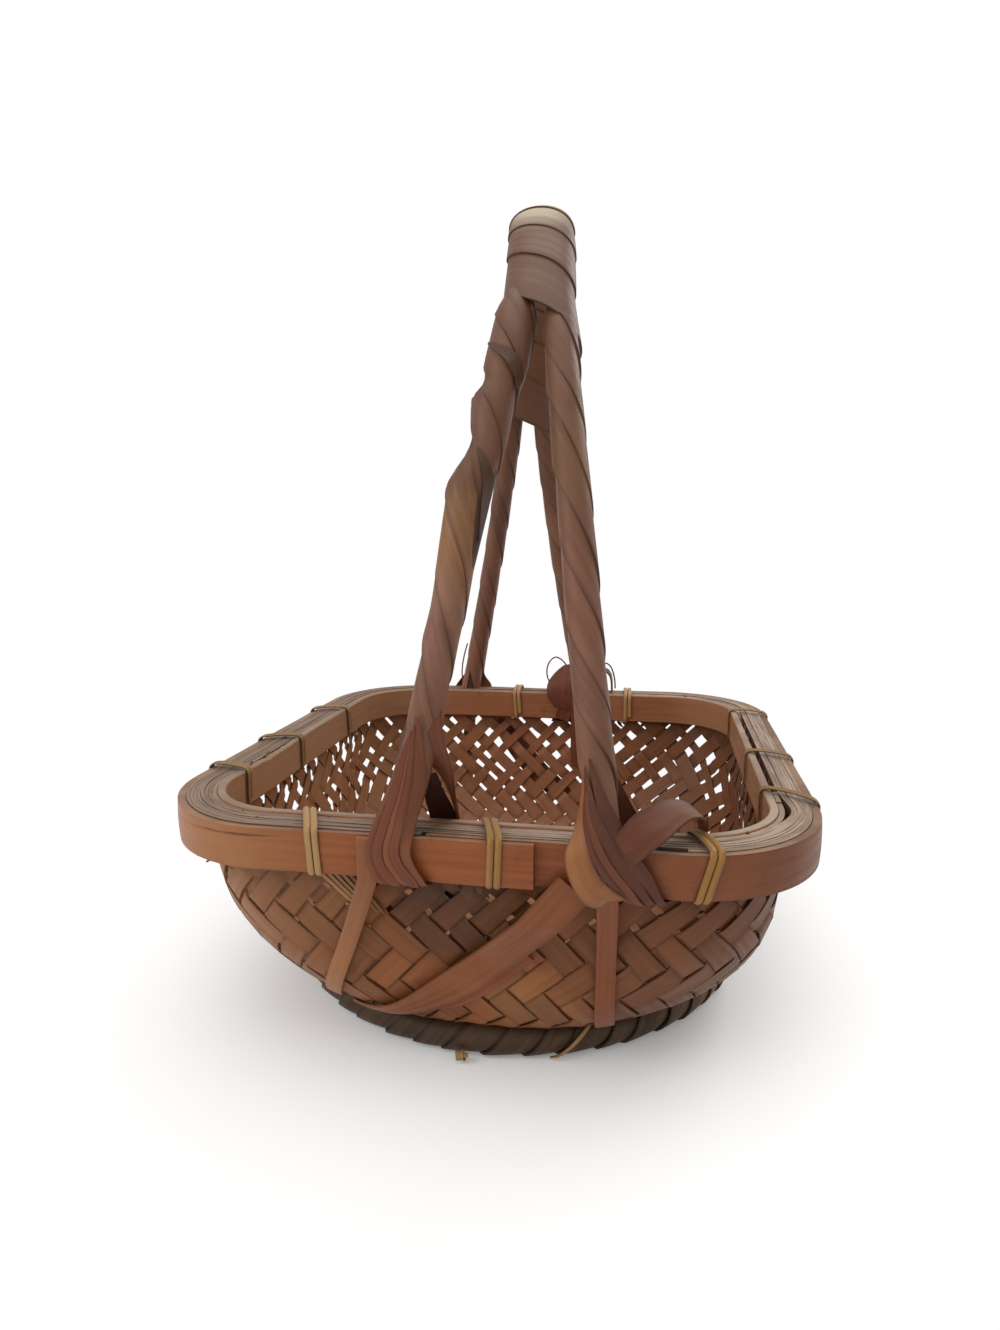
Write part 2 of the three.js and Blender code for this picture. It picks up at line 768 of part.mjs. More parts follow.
// Foot ring: a core with a strip wound round it, cut flat where it stands
function footPoint(ringAngle, tubeAngle, radius) {
  const reach = footRingRadius + radius * Math.cos(tubeAngle);
  return new THREE.Vector3(
    reach * Math.cos(ringAngle),
    reach * Math.sin(ringAngle),
    footRingHeight + radius * Math.sin(tubeAngle),
  );
}

function footWrapGeometry() {
  const pitchDeg = (360 - footWrapOpenDeg) / footWrapTurns;
  const widthDeg = pitchDeg - THREE.MathUtils.radToDeg(footWrapGap / footRingRadius);
  const startDeg = 90 + footWrapOpenDeg / 2;
  const steps = footWrapTurns * stepsPerTurn;
  const facetHalf = Math.PI / stepsPerTurn;
  const inner = (footWrapOuterRadius - footWrapThickness) / Math.cos(facetHalf);
  const outer = footWrapOuterRadius / Math.cos(facetHalf);
  const half = THREE.MathUtils.degToRad(widthDeg) / 2;
  const rings = [];
  for (let i = 0; i <= steps; i += 1) {
    const ringAngle = THREE.MathUtils.degToRad(startDeg + pitchDeg * i / stepsPerTurn);
    const tubeAngle = -facetHalf * (2 * i + 1);
    rings.push([
      footPoint(ringAngle - half, tubeAngle, inner),
      footPoint(ringAngle + half, tubeAngle, inner),
      footPoint(ringAngle + half, tubeAngle, outer),
      footPoint(ringAngle - half, tubeAngle, outer),
    ]);
  }
  reportGap('foot_ring_wrap', rings, stepsPerTurn);
  return cutBelow(skin(rings), 0);
}

function footTieGeometry() {
  const radius = footWrapOuterRadius / Math.cos(Math.PI / stepsPerTurn) + seatGap;
  const steps = 5;
  const nodes = [];
  for (let i = 0; i <= steps; i += 1) {
    const share = i / steps;
    const ringDeg = THREE.MathUtils.lerp(footTieStartDeg, footTieEndDeg, share);
    const tubeDeg = THREE.MathUtils.lerp(footTieTopDeg, footTieLowDeg, share);
    const ringAngle = THREE.MathUtils.degToRad(ringDeg);
    const along = new THREE.Vector3(-Math.sin(ringAngle), Math.cos(ringAngle), 0);
    nodes.push({
      at: footPoint(ringAngle, THREE.MathUtils.degToRad(tubeDeg), radius),
      across: along.multiplyScalar(footTieWidth / 2),
    });
  }
  return ribbon(nodes, footTieWidth / 2).geometry;
}

// A small knot against the outside of the ring, just above the floor
function footKnotGeometry() {
  const knot = new THREE.IcosahedronGeometry(footKnotRadius, 1);
  const reach = footWrapOuterRadius / Math.cos(Math.PI / stepsPerTurn) + footKnotRadius + seatGap;
  const below = footRingHeight - footKnotRadius - seatGap;
  const place = footPoint(THREE.MathUtils.degToRad(footKnotDeg), -Math.asin(below / reach), reach);
  knot.translate(place.x, place.y, place.z);
  return knot;
}

// Rim and its cane lashings
addPiece('rim_outer_hoop', outerHoopGeometry(), bamboo.hoop);
for (let layer = 1; layer <= fillerCount; layer += 1) {
  addPiece(`rim_filler_strip_${layer}`, fillerGeometry(layer), bamboo.filler);
}
addPiece('rim_inner_hoop', innerHoopGeometry(), bamboo.hoop);

const slots = [];
const caneSlotWidth = canePitch * caneTurns + caneWidth + 4 * seatGap;
const caneSlotHeight = caneThickness + 5 * seatGap;
const lashingMarks = {
  front: lashingsByLeg.front.map(([leg, offset]) => legMark(leg) + offset),
  right: lashingShares.right.map((share) => markOnSide('right', share)),
  back: lashingsByLeg.back.map(([leg, offset]) => legMark(leg) + offset),
  left: lashingShares.left.map((share) => markOnSide('left', share)),
};
Object.entries(lashingMarks).forEach(([side, marks]) => {
  marks.forEach((mark, i) => {
    const name = `cane_lashing_${side}_${i + 1}`;
    addPiece(name, caneLashing(name, mark), bamboo.cane);
    slots.push(weaveSlot(mark, caneSlotWidth, caneSlotHeight));
  });
});

// Handle rods, leg wrappings and crown wrapping
Object.entries(rodLines).forEach(([side, line]) => {
  addPiece(`handle_rod_${side}`, cutBelow(rodGeometry(line), rodSeatHeight), bamboo.rod);
});

Object.entries(rodLines).forEach(([side, line]) => {
  const length = line.getLength();
  const low = distanceAtHeight(line, rodSeatHeight);
  const high = distanceAtHeight(line, archTopHeight - legWrapDrop);
  const halfPitch = (high - low) / legWrapTurns / 2;
  const stretches = { front: [low, high], back: [length - high, length - low] };
  Object.entries(stretches).forEach(([end, [from, to]]) => {
    const down = end === 'front' ? -halfPitch : halfPitch;
    const rings = woundStrip(line, from + down, to + down, legWrapTurns, legWrapGap, 0);
    reportGap(`leg_wrap_${end}_${side}`, rings, stepsPerTurn);
    addPiece(`leg_wrap_${end}_${side}`, cutBelow(skin(rings), rodSeatHeight), bamboo.wrap);
  });
});

const crownFrom = distanceAtHeight(archMiddle, archTopHeight - crownWrapDrop);
const crownLength = archMiddle.getLength() - 2 * crownFrom;
const crownEdge = crownLength / crownWrapTurns / 2;
const crownRings = woundStrip(
  archMiddle, crownFrom + crownEdge, crownFrom + crownLength - crownEdge,
  crownWrapTurns, crownWrapGap, crownHalfGap,
);
reportGap('crown_wrap', crownRings, stepsPerTurn);
addPiece('crown_wrap', skin(crownRings), bamboo.wrap);

// Feet of the legs at the rim: outer slat, inner tail and strap for each
Object.entries(legs).forEach(([name, { end, foot }]) => {
  const mark = legMark(name);
  const slatTop = legPlace(name) + foot.slatShift;
  const slat = slatGeometry(slatTop, slatTop + foot.slatRun);
  if (end === 'back') {
    slat.rotateZ(Math.PI);
  }
  addPiece(`slat_${name}`, slat, bamboo.strap);
  if (!foot.tucked) {
    addPiece(`tail_${name}`, tailGeometry(mark, foot), bamboo.rod);
  }
  addPiece(`strap_${name}`, strapGeometry(mark, foot), bamboo.strap);
  slots.push(weaveSlot(mark + foot.strapLean, foot.faceWidth + 4 * seatGap, strapThickness + 5 * seatGap));
});

addPiece('woven_bowl', bowlGeometry(slots), bamboo.weave);

// Diagonal sashes on the bowl: the front one, its backing strip, and one at the back
const sashLine = new THREE.CatmullRomCurve3(sashPlaces.map(([x, share]) => (
  new THREE.Vector3(x, THREE.MathUtils.lerp(bowlBaseHeight, hoopBottom, share), 0)
)));
const sash = sashGeometry(sashLine, {
  from: 0,
  to: 1,
  drop: 0,
  width: sashWidth,
  taper: sashTaperShare,
  wallClearance: 3 * seatGap + 2 * sashThickness,
});
const backing = sashGeometry(sashLine, {
  from: backingFrom,
  to: backingTo,
  drop: backingDrop,
  width: backingWidth,
  taper: backingTaperShare,
  wallClearance: 2 * seatGap,
});
addPiece('sash_front', sash, bamboo.strap);
addPiece('sash_front_backing', backing, bamboo.strap);
addPiece('sash_back', sash.clone().rotateZ(Math.PI), bamboo.strap);

bows.forEach((bow) => addPiece(bow.name, bowGeometry(legMark(bow.leg), bow), bamboo.strap));

// Foot ring
const footCore = new THREE.TorusGeometry(footRingRadius, footCoreRadius, coreSides, coreSteps);
footCore.translate(0, 0, footRingHeight);
addPiece('foot_ring_core', footCore, bamboo.foot);
addPiece('foot_ring_wrap', footWrapGeometry(), bamboo.foot);
addPiece('foot_cane_tie', footTieGeometry(), bamboo.cane);
addPiece('foot_knot', footKnotGeometry(), bamboo.foot);

export default basket;
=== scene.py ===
import bisect
import math
import random

import bmesh
import bpy
from mathutils import Matrix, Vector, noise


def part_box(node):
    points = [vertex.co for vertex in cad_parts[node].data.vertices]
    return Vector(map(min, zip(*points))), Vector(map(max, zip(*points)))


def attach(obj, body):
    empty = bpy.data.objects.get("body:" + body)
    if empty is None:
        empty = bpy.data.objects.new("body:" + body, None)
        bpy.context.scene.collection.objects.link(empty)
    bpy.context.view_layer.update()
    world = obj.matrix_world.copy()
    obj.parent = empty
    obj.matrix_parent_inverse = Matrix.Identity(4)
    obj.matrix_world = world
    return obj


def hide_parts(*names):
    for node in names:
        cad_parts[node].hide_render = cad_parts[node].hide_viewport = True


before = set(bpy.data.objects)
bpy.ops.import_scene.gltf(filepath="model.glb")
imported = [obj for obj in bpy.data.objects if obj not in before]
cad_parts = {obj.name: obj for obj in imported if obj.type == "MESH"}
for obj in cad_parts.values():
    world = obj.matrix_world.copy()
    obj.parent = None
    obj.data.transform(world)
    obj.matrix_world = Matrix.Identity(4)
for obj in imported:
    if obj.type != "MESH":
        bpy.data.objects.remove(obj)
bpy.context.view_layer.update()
print("frame loaded,", len(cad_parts), "nodes")

# All lengths below are in millimetres and become metres where a vertex is placed
mm = 0.001


def lerp(a, b, share):
    return a + (b - a) * share


def clamp(value, low=0.0, high=1.0):
    return max(low, min(high, value))


def ease(share):
    share = clamp(share)
    return share * share * (3 - 2 * share)


def hill(place, height, low, rise, high, fall, rising=clamp, falling=clamp):
    # Grows from low on and is gone again at high
    return height * rising((place - low) / rise) * falling((high - place) / fall)


def wander(place, seed):
    # A smooth, repeatable wobble between about -1 and 1
    return noise.noise(Vector((place, seed * 3.17, seed * 0.73)))


# Strips: a grid whose points are moved to their places, then given a thickness behind its face.
# The spike limit is in thicknesses
spikeLimit = 2.5
edging = {"sharpDeg": 38, "bevelDeg": 50, "segments": 2}


def newPiece():
    bm = bmesh.new()
    bm.verts.layers.float_vector.new("grain")
    bm.verts.layers.float_vector.new("strip")
    return bm


def addStrip(bm, place, length, width, steps, across=2, thickness=0.8, seed=0.0, tint=0.0, flip=False):
    grain = bm.verts.layers.float_vector["grain"]
    strip = bm.verts.layers.float_vector["strip"]
    made = bmesh.ops.create_grid(bm, x_segments=steps, y_segments=across, size=0.5)["verts"]
    faces = list({face for vert in made for face in vert.link_faces})
    for vert in made:
        along, side = vert.co.x + 0.5, vert.co.y
        vert[grain] = (along * length * mm, side * width * mm, seed)
        vert[strip] = (2 * side, tint(along, side) if callable(tint) else tint, along)
        vert.co = Vector(place(along, side)) * mm
    if flip:
        bmesh.ops.reverse_faces(bm, faces=faces)
    for face in faces:
        face.normal_update()
    # A tight fold can throw a corner of the new side far out, so such corners come back to the first side
    home = {tuple(vert[grain]): vert.co.copy() for vert in made}
    for part in bmesh.ops.solidify(bm, geom=faces, thickness=thickness * mm)["geom"]:
        if isinstance(part, bmesh.types.BMVert):
            first = home[tuple(part[grain])]
            if (part.co - first).length > spikeLimit * thickness * mm:
                part.co = first


def finishPiece(bm, name, finish, nodes, bevel=0.0):
    for face in bm.faces:
        face.smooth = True
    mesh = bpy.data.meshes.new(name)
    bm.to_mesh(mesh)
    bm.free()
    mesh.set_sharp_from_angle(angle=math.radians(edging["sharpDeg"]))
    mesh.materials.append(finish)
    piece = bpy.data.objects.new(name, mesh)
    bpy.context.scene.collection.objects.link(piece)
    if bevel:
        rounding = piece.modifiers.new("Rounded edges", "BEVEL")
        rounding.width = bevel * mm
        rounding.segments = edging["segments"]
        rounding.limit_method = "ANGLE"
        rounding.angle_limit = math.radians(edging["bevelDeg"])
    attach(piece, "root")
    if nodes:
        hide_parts(*nodes)
    print(name, len(mesh.polygons), "faces")


def marksAlong(points):
    # Distances along a line of points
    marks = [0.0]
    for a, b in zip(points, points[1:]):
        marks.append(marks[-1] + (b - a).length)
    return marks


def curveThrough(knots, values):
    # A smooth line through values at knots
    last = len(knots) - 1
    slopes = []
    for i in range(last + 1):
        before, after = max(0, i - 1), min(last, i + 1)
        slopes.append((values[after] - values[before]) / (knots[after] - knots[before]))

    def at(place):
        i = max(0, min(last - 1, bisect.bisect_right(knots, place) - 1))
        gap = knots[i + 1] - knots[i]
        u = clamp((place - knots[i]) / gap)
        rising = u * u * (3 - 2 * u)
        start = values[i] + (values[i + 1] - values[i]) * rising
        return start + slopes[i] * (gap * u * (1 - u) ** 2) - slopes[i + 1] * (gap * u * u * (1 - u))

    return at


def arched(side):
    # 1 in the middle of a strip and 0 at its edges
    return 1 - 4 * side * side


grooves = {"across": 9, "drift": 0.6}


def addRibbon(bm, nodes, steps, thickness, across=2, crown=0.0, ridges=0.0, seed=0.0, tint=0.0):
    # A strip along nodes of point, facing and width; ridges raise grooves that run along it
    near = 0.1
    points = [Vector(point) for point, _, _ in nodes]
    knots = marksAlong(points)
    total = knots[-1]
    line = curveThrough(knots, points)
    face = curveThrough(knots, [Vector(facing).normalized() for _, facing, _ in nodes])
    spread = curveThrough(knots, [float(width) for _, _, width in nodes])
    frames = []
    for i in range(steps + 1):
        place = total * i / steps
        way = (line(min(total, place + near)) - line(max(0.0, place - near))).normalized()
        facing = face(place)
        facing = (facing - way * facing.dot(way)).normalized()
        frames.append((line(place), facing, facing.cross(way), spread(place)))

    def place(along, side):
        point, facing, sideways, width = frames[round(along * steps)]
        groove = wander(side * grooves["across"] + along * grooves["drift"], seed + 5)
        return point + sideways * (side * width) + facing * (crown * arched(side) + ridges * groove)

    widest = max(width for _, _, width in nodes)
    addStrip(bm, place, total, widest, steps, across, thickness, seed, tint)


def addSheet(bm, edges, steps, thickness, across=8, belly=0.0, ridges=0.0, seed=0.0, tint=0.0):
    # A strip between two edge lines, given as pairs of points; belly pushes its middle out
    step = 0.2
    knots = [0.0]
    for (a, b), (c, d) in zip(edges, edges[1:]):
        knots.append(knots[-1] + ((Vector(c) + Vector(d)) - (Vector(a) + Vector(b))).length / 2)
    near = curveThrough(knots, [Vector(a) for a, _ in edges])
    far = curveThrough(knots, [Vector(b) for _, b in edges])

    def place(along, side):
        spot = knots[-1] * along
        a, b = near(spot), far(spot)
        ahead, behind = min(knots[-1], spot + step), max(0.0, spot - step)
        way = near(ahead) + far(ahead) - near(behind) - far(behind)
        facing = way.cross(b - a).normalized()
        lift = belly * arched(side) + ridges * wander(side * grooves["across"] + along, seed)
        return a.lerp(b, side + 0.5) + facing * lift

    wide = max((Vector(b) - Vector(a)).length for a, b in edges)
    addStrip(bm, place, knots[-1], wide, steps, across, thickness, seed, tint)


# Finishes: every strip carries its place along and across it, its tint and a seed of its own
def tone(code):
    parts = [int(code[i:i + 2], 16) / 255 for i in (0, 2, 4)]
    return [c / 12.92 if c <= 0.04045 else ((c + 0.055) / 1.055) ** 2.4 for c in parts] + [1.0]


class Finish:
    def __init__(self, name):
        self.material = bpy.data.materials.new(name)
        self.material.use_nodes = True
        self.tree = self.material.node_tree
        self.tree.nodes.clear()

    def add(self, kind, settings=None, **inputs):
        made = self.tree.nodes.new(kind)
        for key, value in (settings or {}).items():
            setattr(made, key, value)
        for key, value in inputs.items():
            self.feed(made, key, value)
        return made

    def feed(self, made, key, value):
        socket = made.inputs[int(key[1:])] if key[0] == "i" and key[1:].isdigit() else made.inputs[key]
        if isinstance(value, bpy.types.NodeSocket):
            self.tree.links.new(value, socket)
        else:
            socket.default_value = value

    def sums(self, operation, first, second=0.0, third=0.0, clamped=False):
        settings = {"operation": operation, "use_clamp": clamped}
        return self.add("ShaderNodeMath", settings, i0=first, i1=second, i2=third).outputs[0]

    def span(self, value, low, high, toLow=0.0, toHigh=1.0):
        made = self.add("ShaderNodeMapRange", {"interpolation_type": "SMOOTHSTEP"}, Value=value)
        for key, number in zip(("From Min", "From Max", "To Min", "To Max"), (low, high, toLow, toHigh)):
            made.inputs[key].default_value = number
        return made.outputs["Result"]

    def mix(self, share, first, second):
        return self.add("ShaderNodeMixRGB", None, Fac=share, Color1=first, Color2=second).outputs["Color"]

    def fade(self, place, colour, fade):
        # Towards another colour between two places along an axis, up to a share
        axis, start, end, share, code = fade
        return self.mix(self.span(place.outputs[axis], start, end, 0.0, share), colour, tone(code))

    def scaled(self, vector, scale):
        return self.add("ShaderNodeVectorMath", {"operation": "MULTIPLY"}, i0=vector, i1=scale).outputs[0]

    def clouds(self, vector, detail=4.0, roughness=0.55, distortion=0.0, scale=1.0):
        made = self.add("ShaderNodeTexNoise", None, Vector=vector, Scale=scale, Detail=detail,
                        Roughness=roughness, Distortion=distortion)
        return made.outputs["Fac"]


def bamboo(name, look):
    made = Finish(name)
    objectPlace = made.add("ShaderNodeTexCoord").outputs["Object"]
    if look.get("solid"):
        grain = made.scaled(objectPlace, (1, 1, 0.08))
        side = tint = seed = 0.0
    else:
        grain = made.add("ShaderNodeAttribute", {"attribute_name": "grain"}).outputs["Vector"]
        strip = made.add("ShaderNodeAttribute", {"attribute_name": "strip"}).outputs["Vector"]
        stripParts = made.add("ShaderNodeSeparateXYZ", None, Vector=strip)
        side = made.sums("ABSOLUTE", stripParts.outputs["X"])
        tint = stripParts.outputs["Y"]
        seed = made.add("ShaderNodeSeparateXYZ", None, Vector=grain).outputs["Z"]
    streaks = made.clouds(made.scaled(grain, look["streak"]), detail=5.0, roughness=0.6, distortion=0.25)
    fibres = made.clouds(made.scaled(grain, look["fibre"]), detail=3.0, roughness=0.6)
    coarse, fine = look["blotchScale"], look["blotchScale"] * look["dirtFiner"]
    blotches = made.clouds(objectPlace, detail=3.0, roughness=0.5, distortion=0.4, scale=coarse)
    level, contrast = look["level"], look["contrast"]
    lines = made.span(streaks, *look["streakSpan"], level - contrast, level + contrast)
    colour = made.mix(lines, tone(look["dark"]), tone(look["base"]))
    pale = made.span(blotches, *look["blotchSpan"], 0.0, look["blotch"])
    colour = made.mix(pale, colour, tone(look["light"]))
    # Dirt patches of the bamboo's own; the same dark tone is also used below for painted shade
    darkening = made.clouds(objectPlace, detail=4.0, roughness=0.6, scale=fine)
    dirty = made.span(darkening, *look["dirtSpan"], 0.0, look["dirtShare"])
    colour = made.mix(dirty, colour, tone(look["darkening"]))
    if not look.get("solid"):
        tinted = made.mix(lines, tone(look["tintDark"]), tone(look["tint"]))
        colour = made.mix(made.sums("MULTIPLY", tint, 1.0, clamped=True), colour, tinted)
        # A negative tint darkens towards the dark tone: painted shade on the leg's dark sheets and on a
        # strip inside the bowl, and a darker strip of its own elsewhere
        colour = made.mix(made.sums("MULTIPLY", tint, -1.0, clamped=True), colour, tone(look["darkening"]))
        own = made.add("ShaderNodeTexWhiteNoise", {"noise_dimensions": "1D"}, W=seed).outputs["Value"]
        shade = made.span(own, 0.0, 1.0, 1 - look["uneven"], 1 + look["uneven"])
        colour = made.add("ShaderNodeHueSaturation", None, Value=shade, Color=colour).outputs["Color"]
        colour = made.mix(made.span(side, *look["edgeSpan"], 0.0, look["edge"]), colour, tone(look["darkening"]))
    spot = made.add("ShaderNodeSeparateXYZ", None, Vector=objectPlace)
    normal = made.add("ShaderNodeNewGeometry").outputs["Normal"]
    # Painted light: faces that point into the bowl take a paler, duller colour that stands in for the light
    # within it
    if look.get("inside"):
        outward = made.scaled(objectPlace, (1, 1, 0))
        towards = made.add("ShaderNodeVectorMath", {"operation": "DOT_PRODUCT"}, i0=outward, i1=normal)
        inner = made.mix(lines, tone(look["insideDark"]), tone(look["inside"]))
        inwards = made.span(towards.outputs["Value"], *look["insideSpan"], 0.0, look["insideShare"])
        colour = made.mix(inwards, colour, inner)
    for fade in look.get("fades", []):
        colour = made.fade(spot, colour, fade)
    # Painted shadow: darker round a middle point
    if look.get("shadowSpot"):
        middle, near, far, share = look["shadowSpot"]
        away = made.add("ShaderNodeVectorMath", {"operation": "DISTANCE"}, i0=objectPlace, i1=middle)
        shadowed = made.span(away.outputs["Value"], far, near, 0.0, share)
        colour = made.mix(shadowed, colour, tone(look["darkening"]))
    # Faces that point up take the top colour: partly the paler cut edges' own colour, partly painted light
    # from above and a painted reflection of the bright surroundings
    facing = made.add("ShaderNodeSeparateXYZ", None, Vector=normal)
    upward = made.span(facing.outputs["Z"], look["topFrom"], 1.0, 0.0, look["topShare"])
    if look.get("topHeight"):
        upward = made.sums("MULTIPLY", upward, made.span(spot.outputs["Z"], *look["topHeight"]))
    topColour = made.mix(made.span(fibres, *look["fibreSpan"]), tone(look["topDark"]), tone(look["top"]))
    # A top fade darkens the tops towards one side: painted shade, leaving the tops on the right pale as a
    # painted reflection
    if look.get("topFade"):
        topColour = made.fade(spot, topColour, look["topFade"])
    colour = made.mix(upward, colour, topColour)
    rough, smooth = (look["roughness"] + more for more in look["roughnessSpread"])
    roughness = made.span(streaks, *look["streakSpan"], rough, smooth)
    fibreRelief, streakRelief = look["relief"]
    relief = made.sums("MULTIPLY_ADD", fibres, fibreRelief, made.sums("MULTIPLY", streaks, streakRelief))
    bump = made.add("ShaderNodeBump", None, Strength=look["bump"], Distance=look["bumpDepth"] * mm,
                    Height=relief)
    shader = made.add("ShaderNodeBsdfPrincipled")
    made.feed(shader, "Base Color", colour)
    made.feed(shader, "Roughness", roughness)
    made.feed(shader, "Normal", bump.outputs["Normal"])
    made.feed(shader, "Specular IOR Level", look["specular"])
    made.add("ShaderNodeOutputMaterial", None, Surface=shader.outputs["BSDF"])
    return made.material


# Colours are the bamboo's own, as they look in daylight, except that most fades, the shadow spot, the top
# colours and the weave's inside colour are painted light and shade, as noted at each. Fades and a shadow
# spot are an axis or a middle, with places in metres, then the share and the colour at their end. The top
# is what faces up
plainLook = {
    "streak": (14, 430, 11), "fibre": (24, 2400, 23), "blotchScale": 24, "blotch": 0.5, "level": 0.6,
    "contrast": 0.25, "uneven": 0.14, "edge": 0.35, "topFrom": 0.55, "topShare": 0.0, "top": "9a8672",
    "topDark": "6d5646", "roughness": 0.5, "bump": 0.4, "specular": 0.28, "tint": "a8794a",
    "tintDark": "8a5c36", "streakSpan": (0.3, 0.7), "fibreSpan": (0.35, 0.65),
    "blotchSpan": (0.48, 0.75),
    "dirtSpan": (0.58, 0.8), "dirtShare": 0.45, "dirtFiner": 3.1, "edgeSpan": (0.8, 1.0),
    "insideSpan": (0.01, -0.01), "insideShare": 0.85, "roughnessSpread": (0.1, -0.06),
    "relief": (0.55, 0.45), "bumpDepth": 0.4,
}
looks = {
    "hoop": {
        "base": "965128", "dark": "753b1d", "light": "a56a3c", "darkening": "4a2718", "uneven": 0.04,
        "edge": 0.1, "topShare": 0.75, "top": "94785f", "topDark": "6e5340", "roughness": 0.42,
        # Painted light: lighter to the left and darker to the right, where less light falls
        "fades": [("X", 0.0, 0.11, 0.6, "592f1a"), ("X", -0.02, -0.11, 0.5, "a97b50")],
    },
    "innerHoop": {
        "base": "a06845", "dark": "7f4c30", "light": "ab7d5c", "darkening": "54301e", "uneven": 0.04,
        "edge": 0.1, "topShare": 0.9, "top": "a3907a", "topDark": "7d6a58", "roughness": 0.42,
        # Painted light: the top darker towards the left, paler on the right as a painted reflection, and
        # the faces lighter at both sides of the bowl
        "topFade": ("X", 0.07, -0.05, 0.55, "75604f"),
        "fades": [("X", -0.05, -0.11, 0.4, "a88a68"), ("X", 0.06, 0.11, 0.4, "ab8562")],
    },
    "laminations": {
        "base": "735444", "dark": "503a2f", "light": "8c7060", "darkening": "3c2c23", "contrast": 0.2,
        "topShare": 0.92, "top": "a9927d", "topDark": "806a58", "uneven": 0.16, "edge": 0.0,
        # Painted light: the tops darker towards the left, paler on the right as a painted reflection
        "topFade": ("X", 0.07, -0.05, 0.6, "6e5646"),
    },
    "weave": {
        "base": "8b522a", "dark": "65391d", "light": "9f6c41", "darkening": "3a2212", "uneven": 0.2,
        # Painted light: the inside colour, paler and duller than the outside, stands in for the light
        # within the bowl
        "edge": 0.55, "streak": (12, 340, 11), "contrast": 0.2, "tint": "b58a55", "inside": "a8724f",
        "insideDark": "80523b",
        # Painted shade: the shadow spot above the sash, the first fade's dark band under the hoops and the
        # second's darker right side; the last fade is painted light on the left
        "shadowSpot": ((-0.006, -0.127, 0.07), 0.012, 0.034, 0.6),
        "fades": [("Z", 0.068, 0.087, 0.5, "3a2212"), ("X", 0.0, 0.1, 0.55, "4e2d19"),
                  ("X", -0.02, -0.1, 0.35, "a87c55")],
    },
    "cane": {
        "base": "b8905f", "dark": "8a6640", "light": "c39f70", "darkening": "3b2819", "tint": "936629",
        "tintDark": "6a481a", "edge": 0.6, "roughness": 0.38, "uneven": 0.1,
    },
    "wrap": {
        # Painted light: the pale top is a painted highlight on the crown's cap, and the last fade, darker
        # to the right, is painted shade
        "base": "7d5443", "dark": "5e3c2e", "light": "937059", "darkening": "33221a", "tint": "a1764d",
        "tintDark": "825a35", "edge": 0.5, "roughness": 0.45, "uneven": 0.13, "topShare": 0.95,
        "topFrom": 0.25, "top": "d6c9ad", "topDark": "a8977d", "topHeight": (0.317, 0.334),
        "fades": [("Z", 0.18, 0.25, 0.55, "5a3c27"), ("Z", 0.165, 0.115, 0.4, "8a5d44"),
                  ("X", 0.042, 0.055, 0.35, "4f3328")],
    },
    "fan": {
        "base": "723d26", "dark": "57291a", "light": "8a5537", "darkening": "31190f", "edge": 0.5,
        "tint": "ab7345", "tintDark": "8c552e", "uneven": 0.08, "roughness": 0.45,
        # Painted shade: darker to the right
        "fades": [("X", 0.035, 0.05, 0.35, "4c2a1b")],
    },
    "slat": {
        "base": "844422", "dark": "673219", "light": "975b33", "darkening": "4a2514", "edge": 0.3,
        "uneven": 0.06, "roughness": 0.45, "contrast": 0.3,
        # Painted light: lighter to the left and darker to the right
        "fades": [("X", -0.02, -0.06, 0.65, "b27c52"), ("X", 0.0, 0.06, 0.3, "6a3820")],
    },
    "foot": {
        "base": "60452e", "dark": "35241a", "light": "75563a", "darkening": "19110b", "edge": 0.7, "uneven": 0.4,
        # Painted shadow: the fade darkens the ring's front, under the bowl
        "contrast": 0.3, "fades": [("Y", -0.06, -0.095, 0.55, "24180f")],
    },
    "rod": {"base": "4e3527", "dark": "35241b", "light": "5f4333", "darkening": "1f1611", "solid": True},
}
finishes = {name: bamboo(name, {**plainLook, **look}) for name, look in looks.items()}
print("finishes made")

# The rim's line: marks run anticlockwise on its outer face from the middle of the front
rim = {
    "halfWidth": 130, "halfDepth": 134, "corner": 54, "top": 102.5, "bottom": 85.6, "outerTop": 101.8,
    "outerThickness": 3.1, "innerInset": 15.5, "innerThickness": 3.4, "lapEnd": 27, "lapHidden": 39,
    "lapRamp": 50, "lapGap": 0.3, "outerInset": 0.2,
}
rimStraight = (rim["halfWidth"] - rim["corner"], rim["halfDepth"] - rim["corner"])
cornerArc = rim["corner"] * math.pi / 2
rimLength = 4 * (sum(rimStraight) + cornerArc)


def rimFrame(mark):
    rest = (mark + rimStraight[0]) % rimLength
    side = 0
    while rest > 2 * rimStraight[side % 2] + cornerArc:
        rest -= 2 * rimStraight[side % 2] + cornerArc
        side += 1
    straight = 2 * rimStraight[side % 2]
    angle = (side - 1) * math.pi / 2 + max(0.0, rest - straight) / rim["corner"]
    outward = Vector((math.cos(angle), math.sin(angle), 0))
    along = Vector((-math.sin(angle), math.cos(angle), 0))
    middle = Vector((rimStraight[0] if side in (0, 1) else -rimStraight[0],
                     rimStraight[1] if side in (1, 2) else -rimStraight[1], 0))
    face = middle + outward * rim["corner"] + along * min(0.0, rest - straight)
    return face, outward, along


def rimPoint(mark, inset, height):
    face, outward, _ = rimFrame(mark)
    point = face - outward * inset
    point.z = height
    return point


def markOnSide(side, share):
    half = (rim["halfWidth"], rim["halfDepth"])[side % 2]
    straight = rimStraight[side % 2]
    reach = abs(share) * half
    bend = math.asin(max(0.0, reach - straight) / rim["corner"]) * rim["corner"]
    return side * rimLength / 4 + math.copysign(min(reach, straight) + bend, share)


